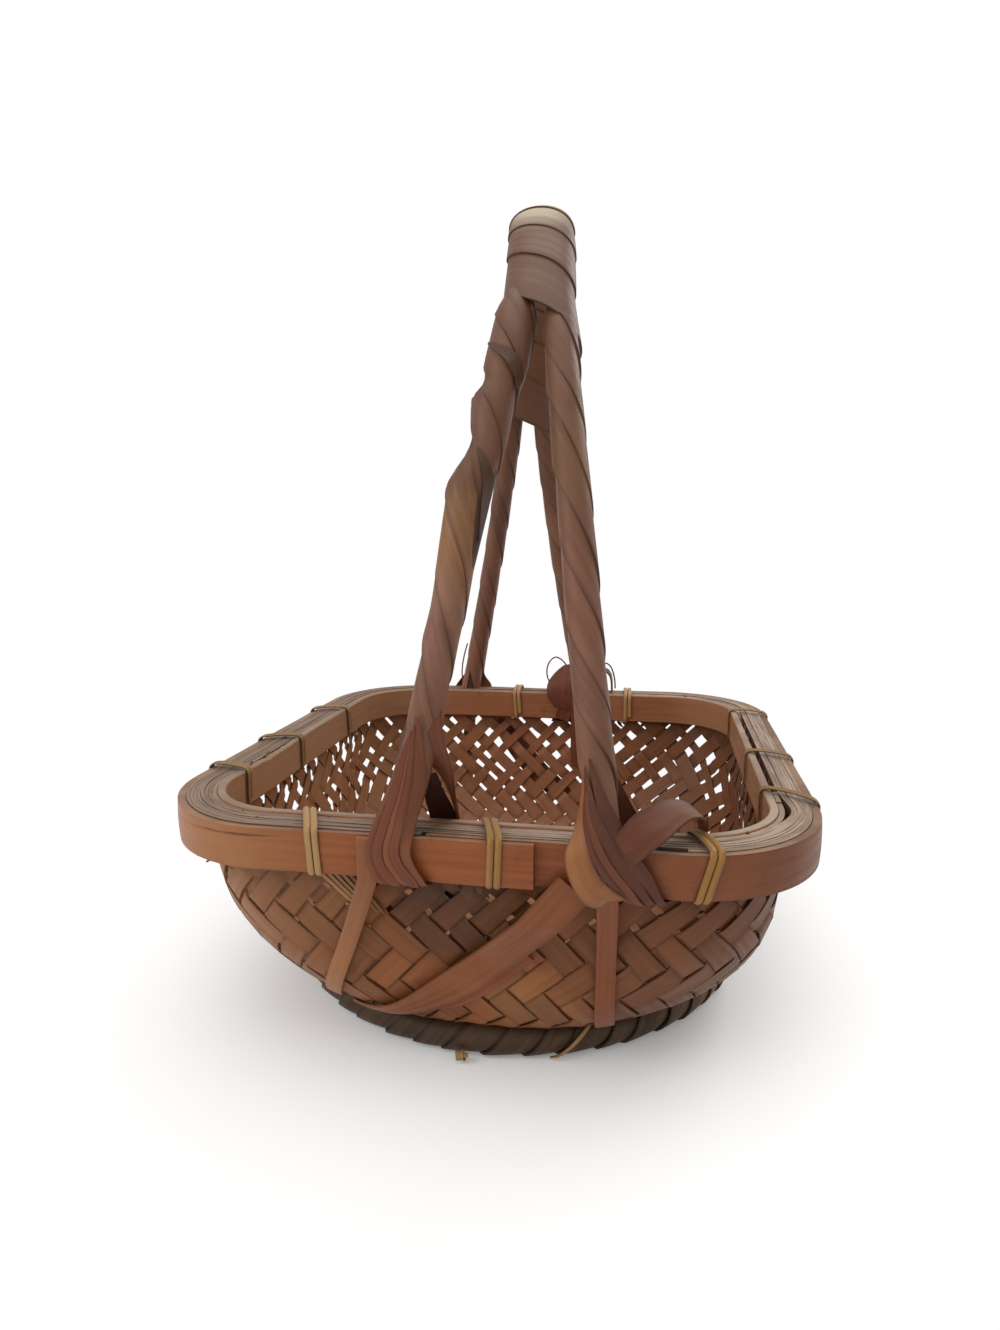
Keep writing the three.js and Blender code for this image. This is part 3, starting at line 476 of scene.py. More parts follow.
def addRimLayer(bm, start, end, inset, low, high, thickness, seed, steps=330, across=1):
    # low and high are heights, and inset the depth of the outer face; each may change along the rim
    def place(along, side):
        mark = lerp(start, end, along)
        return rimPoint(mark, inset(mark, side), lerp(low(mark), high(mark), side + 0.5))

    addStrip(bm, place, end - start, rim["top"] - rim["bottom"], steps, across, thickness, seed)


def wavy(level, amount, pace, seed):
    # A height or an inset that wavers along the rim
    return lambda mark, side=0: level + amount * wander(mark * pace, seed)


def bump(mark, middle, reach):
    # 1 at the middle mark and 0 beyond its reach
    gap = (mark - middle + rimLength / 2) % rimLength - rimLength / 2
    return ease(1 - abs(gap) / reach)


# The outer hoop has a split along it at the front left
outerHoop = {
    "belly": 0.35, "waver": 0.3, "crackDepth": 1.1, "crackHalfWidth": 0.42, "crackFrom": 97.6,
    "crackTo": 98.9, "crackAt": -86, "crackReach": 34,
}


def outerInset(mark, side):
    layer = rim["outerThickness"] + rim["lapGap"]
    ramp = ease((mark - rim["lapEnd"]) / rim["lapRamp"])
    height = lerp(rim["bottom"], outerTop(mark), side + 0.5)
    crackPlace = (mark - rimLength - outerHoop["crackAt"]) / outerHoop["crackReach"]
    crackHeight = lerp(outerHoop["crackFrom"], outerHoop["crackTo"], clamp(0.5 + crackPlace / 2))
    shape = math.exp(-((height - crackHeight) / outerHoop["crackHalfWidth"]) ** 2)
    crack = outerHoop["crackDepth"] * shape * ease(1 - abs(crackPlace))
    return layer * (1 - ramp) - outerHoop["belly"] * arched(side) + rim["outerInset"] + crack


def outerTop(mark):
    return rim["outerTop"] + outerHoop["waver"] * (wander(mark * 0.02, 1) - 0.5)


bm = newPiece()
addRimLayer(
    bm, rim["lapEnd"] - rim["lapHidden"], rim["lapEnd"] + rimLength, outerInset,
    wavy(rim["bottom"], 0.25, 0.03, 2), outerTop, rim["outerThickness"], 1, 400, 40,
)
finishPiece(bm, "outer_hoop", finishes["hoop"], ["rim_outer_hoop"], 0.5)

# Thin layers between the hoops; the slit at the front right corner opens where they bulge outwards
laminations = {
    "insets": [3.5, 4.95, 6.3, 7.6, 9.0, 10.4, 11.9, 13.3], "gap": 0.13, "drop": 0.55, "uneven": 0.28,
    "slitAt": 157, "slitReach": 25, "slitWidth": 2.3, "slitLayer": 6, "sunkLayer": 7,
    "sunk": (6, 178, 14, 322, 14), "outerLayers": 2, "outerShort": 93, "split": 1.5, "raised": 0.4,
}
bm = newPiece()
rng = random.Random(4)
ends = laminations["insets"] + [rim["innerInset"] - 0.1]
for k, inset in enumerate(laminations["insets"]):
    underLap = k < laminations["outerLayers"]
    start = rim["lapEnd"] + rim["lapRamp"] + 2 if underLap else rng.uniform(0, rimLength)
    length = rimLength - laminations["outerShort" if underLap else "split"]
    height = rim["top"] - laminations["drop"] + rng.uniform(-1, 1) * laminations["uneven"]

    def layerInset(mark, side, inset=inset, k=k):
        slit = laminations["slitWidth"] * bump(mark, laminations["slitAt"], laminations["slitReach"])
        pushed = slit * k / laminations["slitLayer"] if k <= laminations["slitLayer"] else 0.0
        return inset + 0.07 * wander(mark * 0.03, k + 10) - pushed

    def layerTop(mark, height=height, k=k):
        opened = k == laminations["sunkLayer"]
        sunk = hill(mark % rimLength, *laminations["sunk"], ease, ease) if opened else 0.0
        return height + 0.22 * wander(mark * 0.018, k + 20) + 0.1 * wander(mark * 0.11, k + 30) - sunk

    addRimLayer(bm, start, start + length, layerInset, lambda mark: rim["bottom"] + laminations["raised"],
                layerTop, ends[k + 1] - inset - laminations["gap"], k + 2, 300)
finishPiece(bm, "rim_laminations", finishes["laminations"],
            ["rim_filler_strip_1", "rim_filler_strip_2", "rim_filler_strip_3"])

# A thin strip that binds the weave's edge shows under the hoops at the front corners
edgeStrip = {
    "stretches": [(-146, -66), (92, 150)], "inset": 10.6, "low": 80.6, "high": 84.6, "thickness": 0.9,
}
bm = newPiece()
for k, (start, end) in enumerate(edgeStrip["stretches"]):
    addRimLayer(
        bm, start, end, wavy(edgeStrip["inset"], 0.8, 0.05, k + 50),
        wavy(edgeStrip["low"], 0.8, 0.06, k + 40), wavy(edgeStrip["high"], 0.6, 0.05, k + 45),
        edgeStrip["thickness"], k + 70, 60, 3,
    )
finishPiece(bm, "weave_edge_strip", finishes["weave"], [])

# The inner hoop's upper edge is ragged on the left
innerHoop = {
    "raggedAt": 3 * rimLength / 4 + 40, "raggedReach": 46, "worn": 0.9, "torn": 1.6, "drop": 0.1,
    "start": rimLength / 2 + 12 - rim["lapHidden"], "split": 1.0,
}


def innerTop(mark):
    ragged = bump(mark, innerHoop["raggedAt"], innerHoop["raggedReach"])
    tear = innerHoop["worn"] + innerHoop["torn"] * abs(wander(mark * 0.16, 6))
    return rim["top"] - innerHoop["drop"] - ragged * tear + 0.15 * wander(mark * 0.03, 3)


bm = newPiece()
addRimLayer(
    bm, innerHoop["start"], innerHoop["start"] + rimLength - innerHoop["split"],
    lambda mark, side: rim["innerInset"], wavy(rim["bottom"], 0.3, 0.03, 5), innerTop,
    rim["innerThickness"], 9, 360, 2,
)
finishPiece(bm, "inner_hoop", finishes["innerHoop"], ["rim_inner_hoop"], 0.6)
print("rim made")

# Woven bowl: 28 strips plaited with 28 others, each across the round base and up the wall at both ends.
# Below the loose rows the strips lie close; front and back have widths of their own
bowl = {
    "baseRadius": 104, "baseCorner": 99, "baseHeight": 14, "rimInset": 13.6, "bulge": 2.15,
    "cornerBulge": 2.4, "wall": 1.6, "thickness": 0.7, "lift": 0.68, "top": 99.5, "sides": 56,
    "lowWidth": 10.1, "highWidth": 7.8, "fillBack": 0.86, "fillFront": 0.95, "looseBack": (0, 6.5),
    "looseFront": (5, 10.5), "widestGap": 4.4, "backWidths": [0.62, 0.76, 0.88, 0.98, 1.06, 1.14],
    "frontWidths": [0.84, 0.92, 0.97, 1.0, 1.03, 1.06], "tilt": 0.2, "samples": 7, "footSlack": 0.45,
    "slackRows": 2.2, "driftRows": 3, "driftLean": 0.42, "driftWaver": 0.5, "widthWaver": 0.07,
    "bendFrom": 0.3, "bendReach": 0.4, "frontFrom": 0.3, "frontSlope": 1.6, "ragged": 0.3,
    "stripFoot": 13.3, "stepsBelow": 120, "stepsAbove": 40,
}
quarter = bowl["sides"] // 4


def bowlSize(height):
    share = clamp((height - bowl["baseHeight"]) / (rim["bottom"] - bowl["baseHeight"]))
    swell = (1 - (1 - share) ** bowl["bulge"]) ** (1 / bowl["bulge"])
    return (
        lerp(bowl["baseRadius"], rim["halfWidth"] - bowl["rimInset"], swell),
        lerp(bowl["baseRadius"], rim["halfDepth"] - bowl["rimInset"], swell),
        lerp(bowl["baseCorner"], rim["corner"] - bowl["rimInset"], swell ** bowl["cornerBulge"]),
    )


def bowlLine(share, size):
    # Place on a level section: share 0 is the middle of the front, and it runs anticlockwise
    side = math.floor(share * 4 + 0.5)
    local = (share - side / 4) * 8
    halfWide, halfDeep = (size[0], size[1]) if side % 2 == 0 else (size[1], size[0])
    corner = size[2]
    straight = halfWide - corner
    reach = abs(local) * (straight + corner * math.pi / 4)
    bend = max(0.0, reach - straight) / corner
    x = math.copysign(min(reach, straight) + corner * math.sin(bend), local)
    y = -(halfDeep - corner + corner * math.cos(bend))
    turn = side % 4
    return ((x, y), (-y, x), (-x, -y), (y, -x))[turn]


def wallTable():
    # Heights and sizes against rows of crossings, a row being half the spacing of the strips at 45 degrees
    rows, sizes = [0.0], [(bowl["baseHeight"], *bowlSize(bowl["baseHeight"]))]
    below, above = bowl["stepsBelow"], bowl["stepsAbove"]
    for i in range(1, below + above + 1):
        if i <= below:
            height = min(lerp(bowl["baseHeight"], rim["bottom"], (i / below) ** 2), rim["bottom"])
        else:
            height = lerp(rim["bottom"], bowl["top"], (i - below) / above)
        size = (height, *bowlSize(height))
        last = sizes[-1]
        run = math.hypot(height - last[0], (size[1] + size[2] - last[1] - last[2]) / 2)
        length = 4 * (size[1] + size[2] - 2 * size[3]) + 2 * math.pi * size[3]
        rows.append(rows[-1] + run * 2 * bowl["sides"] / length)
        sizes.append(size)
    return rows, sizes


wallRows, wallSizes = wallTable()
bowlRows = wallRows[-1]


def wallPoint(share, row):
    i = max(0, min(len(wallRows) - 2, bisect.bisect_right(wallRows, row) - 1))
    u = clamp((row - wallRows[i]) / (wallRows[i + 1] - wallRows[i]))
    height, *size = [lerp(a, b, u) for a, b in zip(wallSizes[i], wallSizes[i + 1])]
    return Vector((*bowlLine(share, size), height))


def basePoint(x, y):
    # The base is a square mat bent to a disc; its edge is the foot of the wall
    bentX, bentY = (math.sqrt(2) * math.sin(math.pi * value / 4) for value in (x, y))
    u, v = bentX * math.sqrt(1 - bentY * bentY / 2), bentY * math.sqrt(1 - bentX * bentX / 2)
    reach = math.hypot(u, v)
    edge = bowlLine((math.atan2(v, u) / (2 * math.pi) + 0.25) % 1, wallSizes[0][1:])
    return Vector((edge[0] * reach, edge[1] * reach, bowl["baseHeight"]))


def stripEnds(n):
    return (n - quarter, 3 * quarter - 1 - n) if n > quarter - 0.5 else (quarter - 1 - n, quarter + n)


def matPoint(rising, n, u):
    own, other = -2 + (n + 0.5) * 2 / quarter, -2 + (u + 0.5) * 2 / quarter
    return ((own + other) / 2, (other - own) / 2) if rising else ((own + other) / 2, (own - other) / 2)


def stripPlace(rising, n, u):
    # Where strip n is at crossing u: its place on the mat, rows up the wall, share round it and its turn
    low, high = stripEnds(n)
    x, y = matPoint(rising, n, clamp(u, low, high))
    row = max(low - u, u - high, 0.0)
    if row == 0:
        return x, y, 0.0, 0.0, 0
    heading = (1, 1 if rising else -1) if u > high else (-1, -1 if rising else 1)
    if abs(y) > abs(x):
        share, turn = (x / 8, heading[0]) if y < 0 else (0.5 - x / 8, -heading[0])
    else:
        share, turn = (0.25 + y / 8, heading[1]) if x > 0 else (0.75 - y / 8, -heading[1])
    return x, y, row, share + turn * row / (2 * bowl["sides"]), turn


def shellPoint(rising, n, u):
    x, y, row, share, turn = stripPlace(rising, n, u)
    return wallPoint(share, row) if turn else basePoint(x, y)


def crossingSide(rising, n, u):
    # 1 where the strip passes outside at that crossing: over two, under two, in level rows
    x, y, row, _, turn = stripPlace(rising, n, u)
    if not turn:
        row = -quarter * (1 - max(abs(x), abs(y)))
        turn = 1 if rising == (abs(x) > abs(y)) else -1
    return turn if round(row) % 4 < 2 else -turn


def addWeaveStrip(bm, rising, n, rng, seed):
    low, high = stripEnds(n)
    start = math.ceil(low - bowlRows) - 1
    sides = [crossingSide(rising, n, u) for u in range(start, math.floor(high + bowlRows) + 3)]
    begin = low - bowlRows + rng.uniform(0, bowl["ragged"])
    end = high + bowlRows - rng.uniform(0, bowl["ragged"])
    widths = [rng.choice(bowl[key]) for key in ("backWidths", "backWidths", "frontWidths")]
    leans = [rng.uniform(-1, 1), rng.uniform(-1, 1)]
    steps = round((end - begin) * bowl["samples"])
    frames, outward = [], None
    small = 0.05
    for i in range(steps + 1):
        u = lerp(begin, end, i / steps)
        way = shellPoint(rising, n, min(u + small, end)) - shellPoint(rising, n, max(u - small, begin))
        beside = shellPoint(rising, n + small, u) - shellPoint(rising, n - small, u)
        point = shellPoint(rising, n, u)
        facing = way.cross(beside)
        pitch = facing.length / way.length / (2 * small)
        facing.normalize()
        if facing.dot(outward or point - Vector((0, 0, 70))) < 0:
            facing.negate()
        outward = facing
        k = math.floor(u)
        bent = ease((u - k - bowl["bendFrom"]) / bowl["bendReach"])
        level = lerp(sides[k - start], sides[k + 1 - start], bent)
        row = max(low - u, u - high, 0.0)
        front = ease(-bowl["frontSlope"] * point.y / wallSizes[-1][2] - bowl["frontFrom"])
        looseFrom, looseTo = (lerp(a, b, front) for a, b in zip(bowl["looseBack"], bowl["looseFront"]))
        loose = ease((row - looseFrom) / (looseTo - looseFrom))
        fill = lerp(bowl["fillBack"], bowl["fillFront"], front)
        side = 0 if u < (low + high) / 2 else 1
        widthFactor = lerp(widths[side], widths[2], front)
        width = min(pitch * fill, lerp(bowl["lowWidth"], bowl["highWidth"] * widthFactor, loose))
        width *= 1 + bowl["widthWaver"] * wander(u * 0.3, seed + 60)
        slack = bowl["footSlack"] * max(0.0, wander(side * 9.1, seed + 15))
        width *= 1 - slack * ease(1.3 - row / bowl["slackRows"])
        drift = clamp(pitch - width, 0.0, bowl["widestGap"]) * ease(row / bowl["driftRows"])
        drift *= bowl["driftLean"] * leans[side] + bowl["driftWaver"] * wander(u * 0.3, seed + 90)
        lift = bowl["lift"] * level - bowl["wall"] / 2 + bowl["thickness"] / 2
        sideways = facing.cross(way).normalized()
        tilt = bowl["tilt"] * (1.2 * wander(seed * 5.3, 1) + wander(u * 0.35, seed + 30))
        frames.append((point + facing * lift + sideways * drift, sideways * width + facing * tilt))

    def place(along, side):
        middle, spread = frames[round(along * steps)]
        return middle + spread * side

    addStrip(bm, place, (end - begin) * 10, 9, steps, 2, bowl["thickness"], seed)


bm = newPiece()
rng = random.Random(7)
for rising in (True, False):
    for n in range(bowl["sides"] // 2):
        addWeaveStrip(bm, rising, n, rng, n + (40 if rising else 0))
finishPiece(bm, "bowl_weave", finishes["weave"], ["woven_bowl"])
print("weave made")


def roundedBox(share, left, right, low, high, radius):
    # Place and outward way on a box with round corners, from its low left corner and up
    sizes = [high - low - 2 * radius, right - left - 2 * radius]
    arc = radius * math.pi / 2
    rest = (share % 1) * 2 * (sum(sizes) + 2 * arc)
    side = 0
    while rest > sizes[side % 2] + arc:
        rest -= sizes[side % 2] + arc
        side += 1
    bend = max(0.0, rest - sizes[side % 2]) / radius
    run = min(rest, sizes[side % 2])
    ways = ((0, 1), (1, 0), (0, -1), (-1, 0))
    way, out = ways[side], ways[side - 1]
    starts = ((left + radius, low + radius), (left + radius, high - radius),
              (right - radius, high - radius), (right - radius, low + radius))
    facing = [out[i] * math.cos(bend) + way[i] * math.sin(bend) for i in (0, 1)]
    return [starts[side][i] + way[i] * run + facing[i] * radius for i in (0, 1)], facing


# Cane lashings: two turns round the whole rim, golden at two places on the front. Each mark is a place
# along its side, as millimetres at the front and back and a share elsewhere, then a tint, a lean and a skew
lashings = {
    "widths": {"front": 2.55, "right": 1.75, "back": 2.3, "left": 2.05}, "spacing": 1.1, "thickness": 0.6,
    "clear": 0.15, "slack": 0.35, "round": 2.0, "crown": 0.28, "leanOver": 17, "bow": 0.9, "nodes": 96,
    "steps": 128,
    "marks": {
        "front": [(-57.5, 0.0, 0.4, -8), (11.2, 0.75, -1.4, -5), (87.6, 0.9, -5.6, -2)],
        "right": [(-0.5, -0.4, 0.5, 14), (-0.06, -0.4, -0.5, 7), (0.59, -0.35, 0.6, 5)],
        "back": [(-50.7, 0.1, 0.5, 0), (20.2, 0.2, -0.6, 0), (80.7, 0.2, 0.8, 0)],
        "left": [(-0.37, -0.35, -1.0, -6), (0.12, -0.4, 0.8, -6), (0.51, -0.3, 1.5, 4)],
    },
}


def addLashing(bm, mark, width, seed, tint, lean, skew):
    face, outward, along = rimFrame(mark)
    clear, thickness, count = lashings["clear"], lashings["thickness"], lashings["nodes"]
    inside = rim["innerInset"] + rim["innerThickness"] + clear + lashings["slack"]
    edges = (-inside, clear, rim["bottom"] - clear, rim["top"] + clear)

    def nodeAt(turns):
        spot, facing = roundedBox(turns, *edges, lashings["round"])
        inward = clamp(-spot[0] / inside)
        offset = lashings["spacing"] * width * (turns - 1) + skew * (inward - 0.5)
        offset += lean * (rim["top"] - spot[1]) / lashings["leanOver"]
        if facing[1] > 0:
            spot = (spot[0], spot[1] + lashings["bow"] * facing[1] * 4 * inward * (1 - inward))
        point = face + outward * (spot[0] + facing[0] * thickness) + along * offset
        point.z = spot[1] + facing[1] * thickness
        return point, outward * facing[0] + Vector((0, 0, facing[1])), width

    nodes = [nodeAt(2 * lerp(0.01, 0.99, i / count)) for i in range(count + 1)]
    addRibbon(bm, nodes, lashings["steps"], thickness, 6, lashings["crown"] * width, 0.0, seed, tint)


for turn, (side, marks) in enumerate(lashings["marks"].items()):
    for i, (spot, tint, lean, skew) in enumerate(marks):
        mark = turn * rimLength / 4 + spot if turn % 2 == 0 else markOnSide(turn, spot)
        bm = newPiece()
        addLashing(bm, mark, lashings["widths"][side], turn * 3 + i + 1, tint, lean, skew)
        name = f"lashing_{side}_{i + 1}"
        finishPiece(bm, name, finishes["cane"], [f"cane_{name}"])

# Handle: two arched rods, side by side at the crown and apart at the feet
handle = {
    "spring": 95, "rise": 243, "halfSpan": 129.5, "roundness": 2.2, "shift": -1, "turnDeg": 6.1,
    "crownTurnDeg": 4.4, "lean": 10.5, "footHalfGap": 37.6, "crownHalfGap": 7.2, "partingDrop": 48,
    "spreadPower": 1.2, "rodRadius": 5.0, "rodSkin": 1.2, "rodEnd": 2, "samples": 900, "near": 1.5,
}
handleTop = handle["spring"] + handle["rise"]


def halfGap(height):
    # How far each rod is from the middle of the two
    parting = handleTop - handle["partingDrop"]
    apart = max(0.0, (parting - height) / (parting - rim["top"]))
    return lerp(handle["crownHalfGap"], handle["footHalfGap"], apart ** handle["spreadPower"])


class HandleLine:
    # The middle line of a rod from front to back: side -1 left, 1 right, 0 the middle of the two
    def __init__(self, side):
        self.side = side
        self.points = [self.pointAt(i / handle["samples"]) for i in range(handle["samples"] + 1)]
        self.marks = marksAlong(self.points)
        self.length = self.marks[-1]

    def pointAt(self, t):
        angle, power = math.pi * t, 2 / handle["roundness"]
        y = -handle["halfSpan"] * math.copysign(abs(math.cos(angle)) ** power, math.cos(angle))
        rise = max(0.0, math.sin(angle)) ** power
        z = handle["spring"] + handle["rise"] * rise
        turn, crownTurn = (math.tan(math.radians(handle[key])) for key in ("turnDeg", "crownTurnDeg"))
        middle = handle["shift"] - turn * y + rise * (handle["lean"] - crownTurn * y)
        return Vector((middle + self.side * halfGap(z), y, z))

    def at(self, distance):
        i = max(0, min(len(self.marks) - 2, bisect.bisect_right(self.marks, distance) - 1))
        u = (distance - self.marks[i]) / (self.marks[i + 1] - self.marks[i])
        return self.points[i].lerp(self.points[i + 1], u)

    def frame(self, distance):
        way = (self.at(distance + handle["near"]) - self.at(distance - handle["near"])).normalized()
        sideways = (Vector((1, 0, 0)) - way * way.x).normalized()
        return self.at(distance), sideways, sideways.cross(way)

    def distanceAt(self, height):
        return next(mark for mark, point in zip(self.marks, self.points) if point.z >= height)


rods = {"left": HandleLine(-1), "right": HandleLine(1)}
crownLine = HandleLine(0)


windings = {
    "flareLift": 1.5, "profile": 0.8, "swayPace": 0.02, "widePace": 0.035, "lumpPace": 0.05, "across": 6,
}


def addWinding(bm, line, start, end, look, section, seed, tints, onTopAtStart):
    # Strips wound side by side; one edge of each lies on the strip beside it
    strands = look["strands"]
    for k in range(strands):
        own = seed + k * 1.7
        reach = look["pitch"] / strands
        first, last = start, end
        if "ends" in look:
            turns = look["phase"] / (2 * math.pi) + k / strands
            first += ((look["ends"][0] - turns) % 1) * look["pitch"]
            last -= (((end - start) / look["pitch"] + turns - look["ends"][1]) % 1) * look["pitch"]
        steps = round((last - first) / look["step"])

        def place(along, side, own=own, k=k, first=first, last=last):
            middle = lerp(first, last, along)
            angle = 2 * math.pi * ((middle - start) / look["pitch"] + k / strands) + look["phase"]
            angle += look["sway"] * wander(middle * windings["swayPace"], own)
            uneven = look["uneven"] * wander(middle * windings["widePace"], own + 3)
            wide = reach * (look["overlap"] + uneven)
            loose = look.get("flare", 0.0) * ease(1 - (middle - start) / look["pitch"])
            shut = look.get("flare", 0.0) * ease(1 - (end - middle) / look["pitch"])
            spot = clamp(middle + side * wide - windings["flareLift"] * loose, 0, line.length)
            at, sideways, outward = line.frame(spot)
            onTop = 0.5 - side if onTopAtStart else 0.5 + side
            radius = lerp(look["tucked"], look["proud"], onTop ** windings["profile"])
            radius += look["lumps"] * wander(middle * windings["lumpPace"], own + 7)
            swell, shift = look["shape"](at.z) if "shape" in look else (0, 0)
            across, proud = section(angle, radius + swell + loose * onTop + shut * (1 - onTop), at.z)
            return at + sideways * (across + shift) + outward * proud

        def tintAt(along, side, k=k, first=first, last=last):
            height = line.at(clamp(lerp(first, last, along) + side * reach, 0, line.length)).z
            return tints[k % len(tints)] + (look["tan"](height) if "tan" in look else 0.0)

        addStrip(bm, place, (last - first) * 1.2, reach * 0.6, steps, windings["across"], look["thickness"],
                 own, tintAt, True)


def roundSection(angle, radius, height=0.0):
    # Round at every height
    return radius * math.cos(angle), radius * math.sin(angle)


# Under the crown's winding the rods are thinner and closer together than below it
crownSection = {
    "halfGap": 6.6, "squareness": 2.1, "dome": 2.2, "rodRadius": 3.5, "drawnFrom": 296, "drawnReach": 16,
    "thinFrom": 258, "thinReach": 10,
}


def crownOval(angle, radius, height):
    # Wider than high, with a domed upper side, and wider still where the rods part
    wide = radius + crownSection["halfGap"] + halfGap(height) - handle["crownHalfGap"]
    power = 2 / crownSection["squareness"]
    c, s = math.cos(angle), math.sin(angle)
    dome = crownSection["dome"]
    proud = (radius + math.copysign(dome, s)) * math.copysign(abs(s) ** power, s) - dome
    return wide * math.copysign(abs(c) ** power, c), proud


legWinding = {
    "strands": 3, "pitch": 74, "overlap": 1.16, "uneven": 0.2, "tucked": 5.5, "proud": 6.3,
    "thickness": 0.8, "lumps": 0.4, "sway": 0.45, "step": 1.8, "pinch": 1.7, "pinchReach": 8,
    "topDrop": 42, "tints": [0.0, 0.12, 0.04],
}
# The front left leg has two shoulders, where new strips begin, and a thicker foot. Hills along the height:
# size, where each begins and how far it grows, where it ends and how far it shrinks
frontLeft = {
    "shoulder": (3.6, 182, 45, 235, 14), "aside": (2.1, 178, 40, 235, 14),
    "upper": (4.0, 236, 16, 257, 7), "top": (1.6, 256, 8, 289, 8), "footMiddle": 128, "footReach": 46,
    "footSwell": 0.3, "footShift": 1.8,
}
# Where strips of the front legs are tan
tans = {"left": (0.6, 182, 20, 219, 2.5), "right": (0.32, 208, 20, 250, 14)}


def frontLeftShape(height):
    shoulders = hill(height, *frontLeft["shoulder"]) + hill(height, *frontLeft["upper"], clamp, ease)
    foot = ease(1 - abs(height - frontLeft["footMiddle"]) / frontLeft["footReach"])
    swell = shoulders / 2 + frontLeft["footSwell"] * foot + hill(height, *frontLeft["top"], ease, ease)
    return swell, frontLeft["footShift"] * foot - shoulders / 2 - hill(height, *frontLeft["aside"])


def legShape(end, line):
    # The windings of the legs grow thin and draw together where the crown's winding begins over them
    begin = 277 if end == "front" and line.side > 0 else 287

    def shape(height):
        drawn = legWinding["pinch"] * ease((height - begin) / legWinding["pinchReach"])
        swell, shift = frontLeftShape(height) if end == "front" and line.side < 0 else (0, 0)
        return swell - drawn, shift - line.side * drawn * 0.5

    return shape


for i, (side, line) in enumerate(rods.items()):
    low = line.distanceAt(rim["top"] + 0.6)
    high = line.distanceAt(handleTop - legWinding["topDrop"])
    for end in ("front", "back"):
        bm = newPiece()
        start, stop = (low, high) if end == "front" else (line.length - high, line.length - low)
        seed = 3 + i * 11 + (5 if end == "back" else 0)
        look = {**legWinding, "phase": seed * 0.7, "shape": legShape(end, line)}
        if end == "front":
            look["tan"] = lambda height, side=side: hill(height, *tans[side], ease, ease)
        addWinding(bm, line, start, stop, look, roundSection, seed, legWinding["tints"], end == "front")
        finishPiece(bm, f"leg_winding_{end}_{side}", finishes["wrap"], [f"leg_wrap_{end}_{side}"])

# The strips of the crown's winding end at set shares of a turn, and stand off a little at both ends
crownWinding = {
    "strands": 2, "pitch": 46, "overlap": 1.2, "uneven": 0.16, "tucked": 6.0, "proud": 6.8,
    "thickness": 0.9, "lumps": 0.2, "sway": 0.25, "phase": 2.527, "step": 1.0, "ends": (-0.2, 0.054),
    "flare": 2.6, "stretch": (170, 430), "tints": [0.0, 0.12],
}
bm = newPiece()
start, end = crownWinding["stretch"]
addWinding(bm, crownLine, start, end, crownWinding, crownOval, 2.3, crownWinding["tints"], True)
finishPiece(bm, "crown_winding", finishes["wrap"], ["crown_wrap"])

# Painted shade: dark sheets on the front left leg where a strip of it stands off: distances along it, turns
# round it, widths
shadeSheets = {
    "radius": 6.9, "thickness": 0.5, "tint": -0.85,
    "spots": [
        [(183.5, 0.4, 0.8), (180, 0.3, 2.6), (176.5, 0.18, 5.0), (172.5, 0.09, 5.0), (168, 0.06, 0.8)],
        [(143.7, 0.28, 0.8), (139, 0.17, 3.0), (133.5, 0.08, 5.0), (125, 0.05, 4.0), (114, 0.04, 0.8)],
    ],
}
bm = newPiece()
for k, spots in enumerate(shadeSheets["spots"]):
    nodes = []
    for distance, turns, width in spots:
        at, sideways, outward = rods["left"].frame(distance)
        swell, shift = frontLeftShape(at.z)
        across, proud = roundSection(2 * math.pi * turns, shadeSheets["radius"] + swell)
        facing = sideways * across + outward * proud
        nodes.append((at + sideways * (across + shift) + outward * proud, facing, width))
    addRibbon(bm, nodes, 30, shadeSheets["thickness"], 4, 0.0, 0.0, k + 30.5, shadeSheets["tint"])
finishPiece(bm, "leg_painted_shade", finishes["wrap"], [])

# The two rods, drawn together a little under the crown's winding
for side, line in rods.items():
    bm = newPiece()

    def rodPlace(along, turn, line=line):
        distance = lerp(handle["rodEnd"], line.length - handle["rodEnd"], along)
        at, sideways, outward = line.frame(distance)
        drawn = ease((at.z - crownSection["drawnFrom"]) / crownSection["drawnReach"])
        drawn *= handle["crownHalfGap"] - crownSection["halfGap"]
        thinned = ease((at.z - crownSection["thinFrom"]) / crownSection["thinReach"])
        radius = lerp(handle["rodRadius"], crownSection["rodRadius"], thinned) - handle["rodSkin"]
        across, proud = roundSection(2 * math.pi * turn, radius)
        return at + sideways * (across - line.side * drawn) + outward * proud

    addStrip(bm, rodPlace, line.length, 30, 220, 18, handle["rodSkin"], 3 + line.side, 0.0, True)
    finishPiece(bm, f"rod_{side}", finishes["rod"], [f"handle_rod_{side}"])
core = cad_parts["foot_ring_core"].data
core.materials.clear()
core.materials.append(finishes["rod"])
print("handle made")

# Feet of the legs. Places are along their side of the rim, from its middle the way round
feet = {
    "front_left": {"place": -26.2, "slat": (-32.2, -30.5), "fan": "narrow", "lean": 5.5, "tail": -5.1},
    "front_right": {"place": 51.9, "slat": (52.5, -1.6), "fan": "broad", "lean": 14, "tail": 3.4},
    "back_right": {"place": -24.2, "slat": (-30.2, -30.5), "fan": "broad", "lean": 15, "tail": 4.4},
    "back_left": {"place": 53.9, "slat": (54.5, -1.6), "fan": "broad", "lean": 14, "tail": None},
}
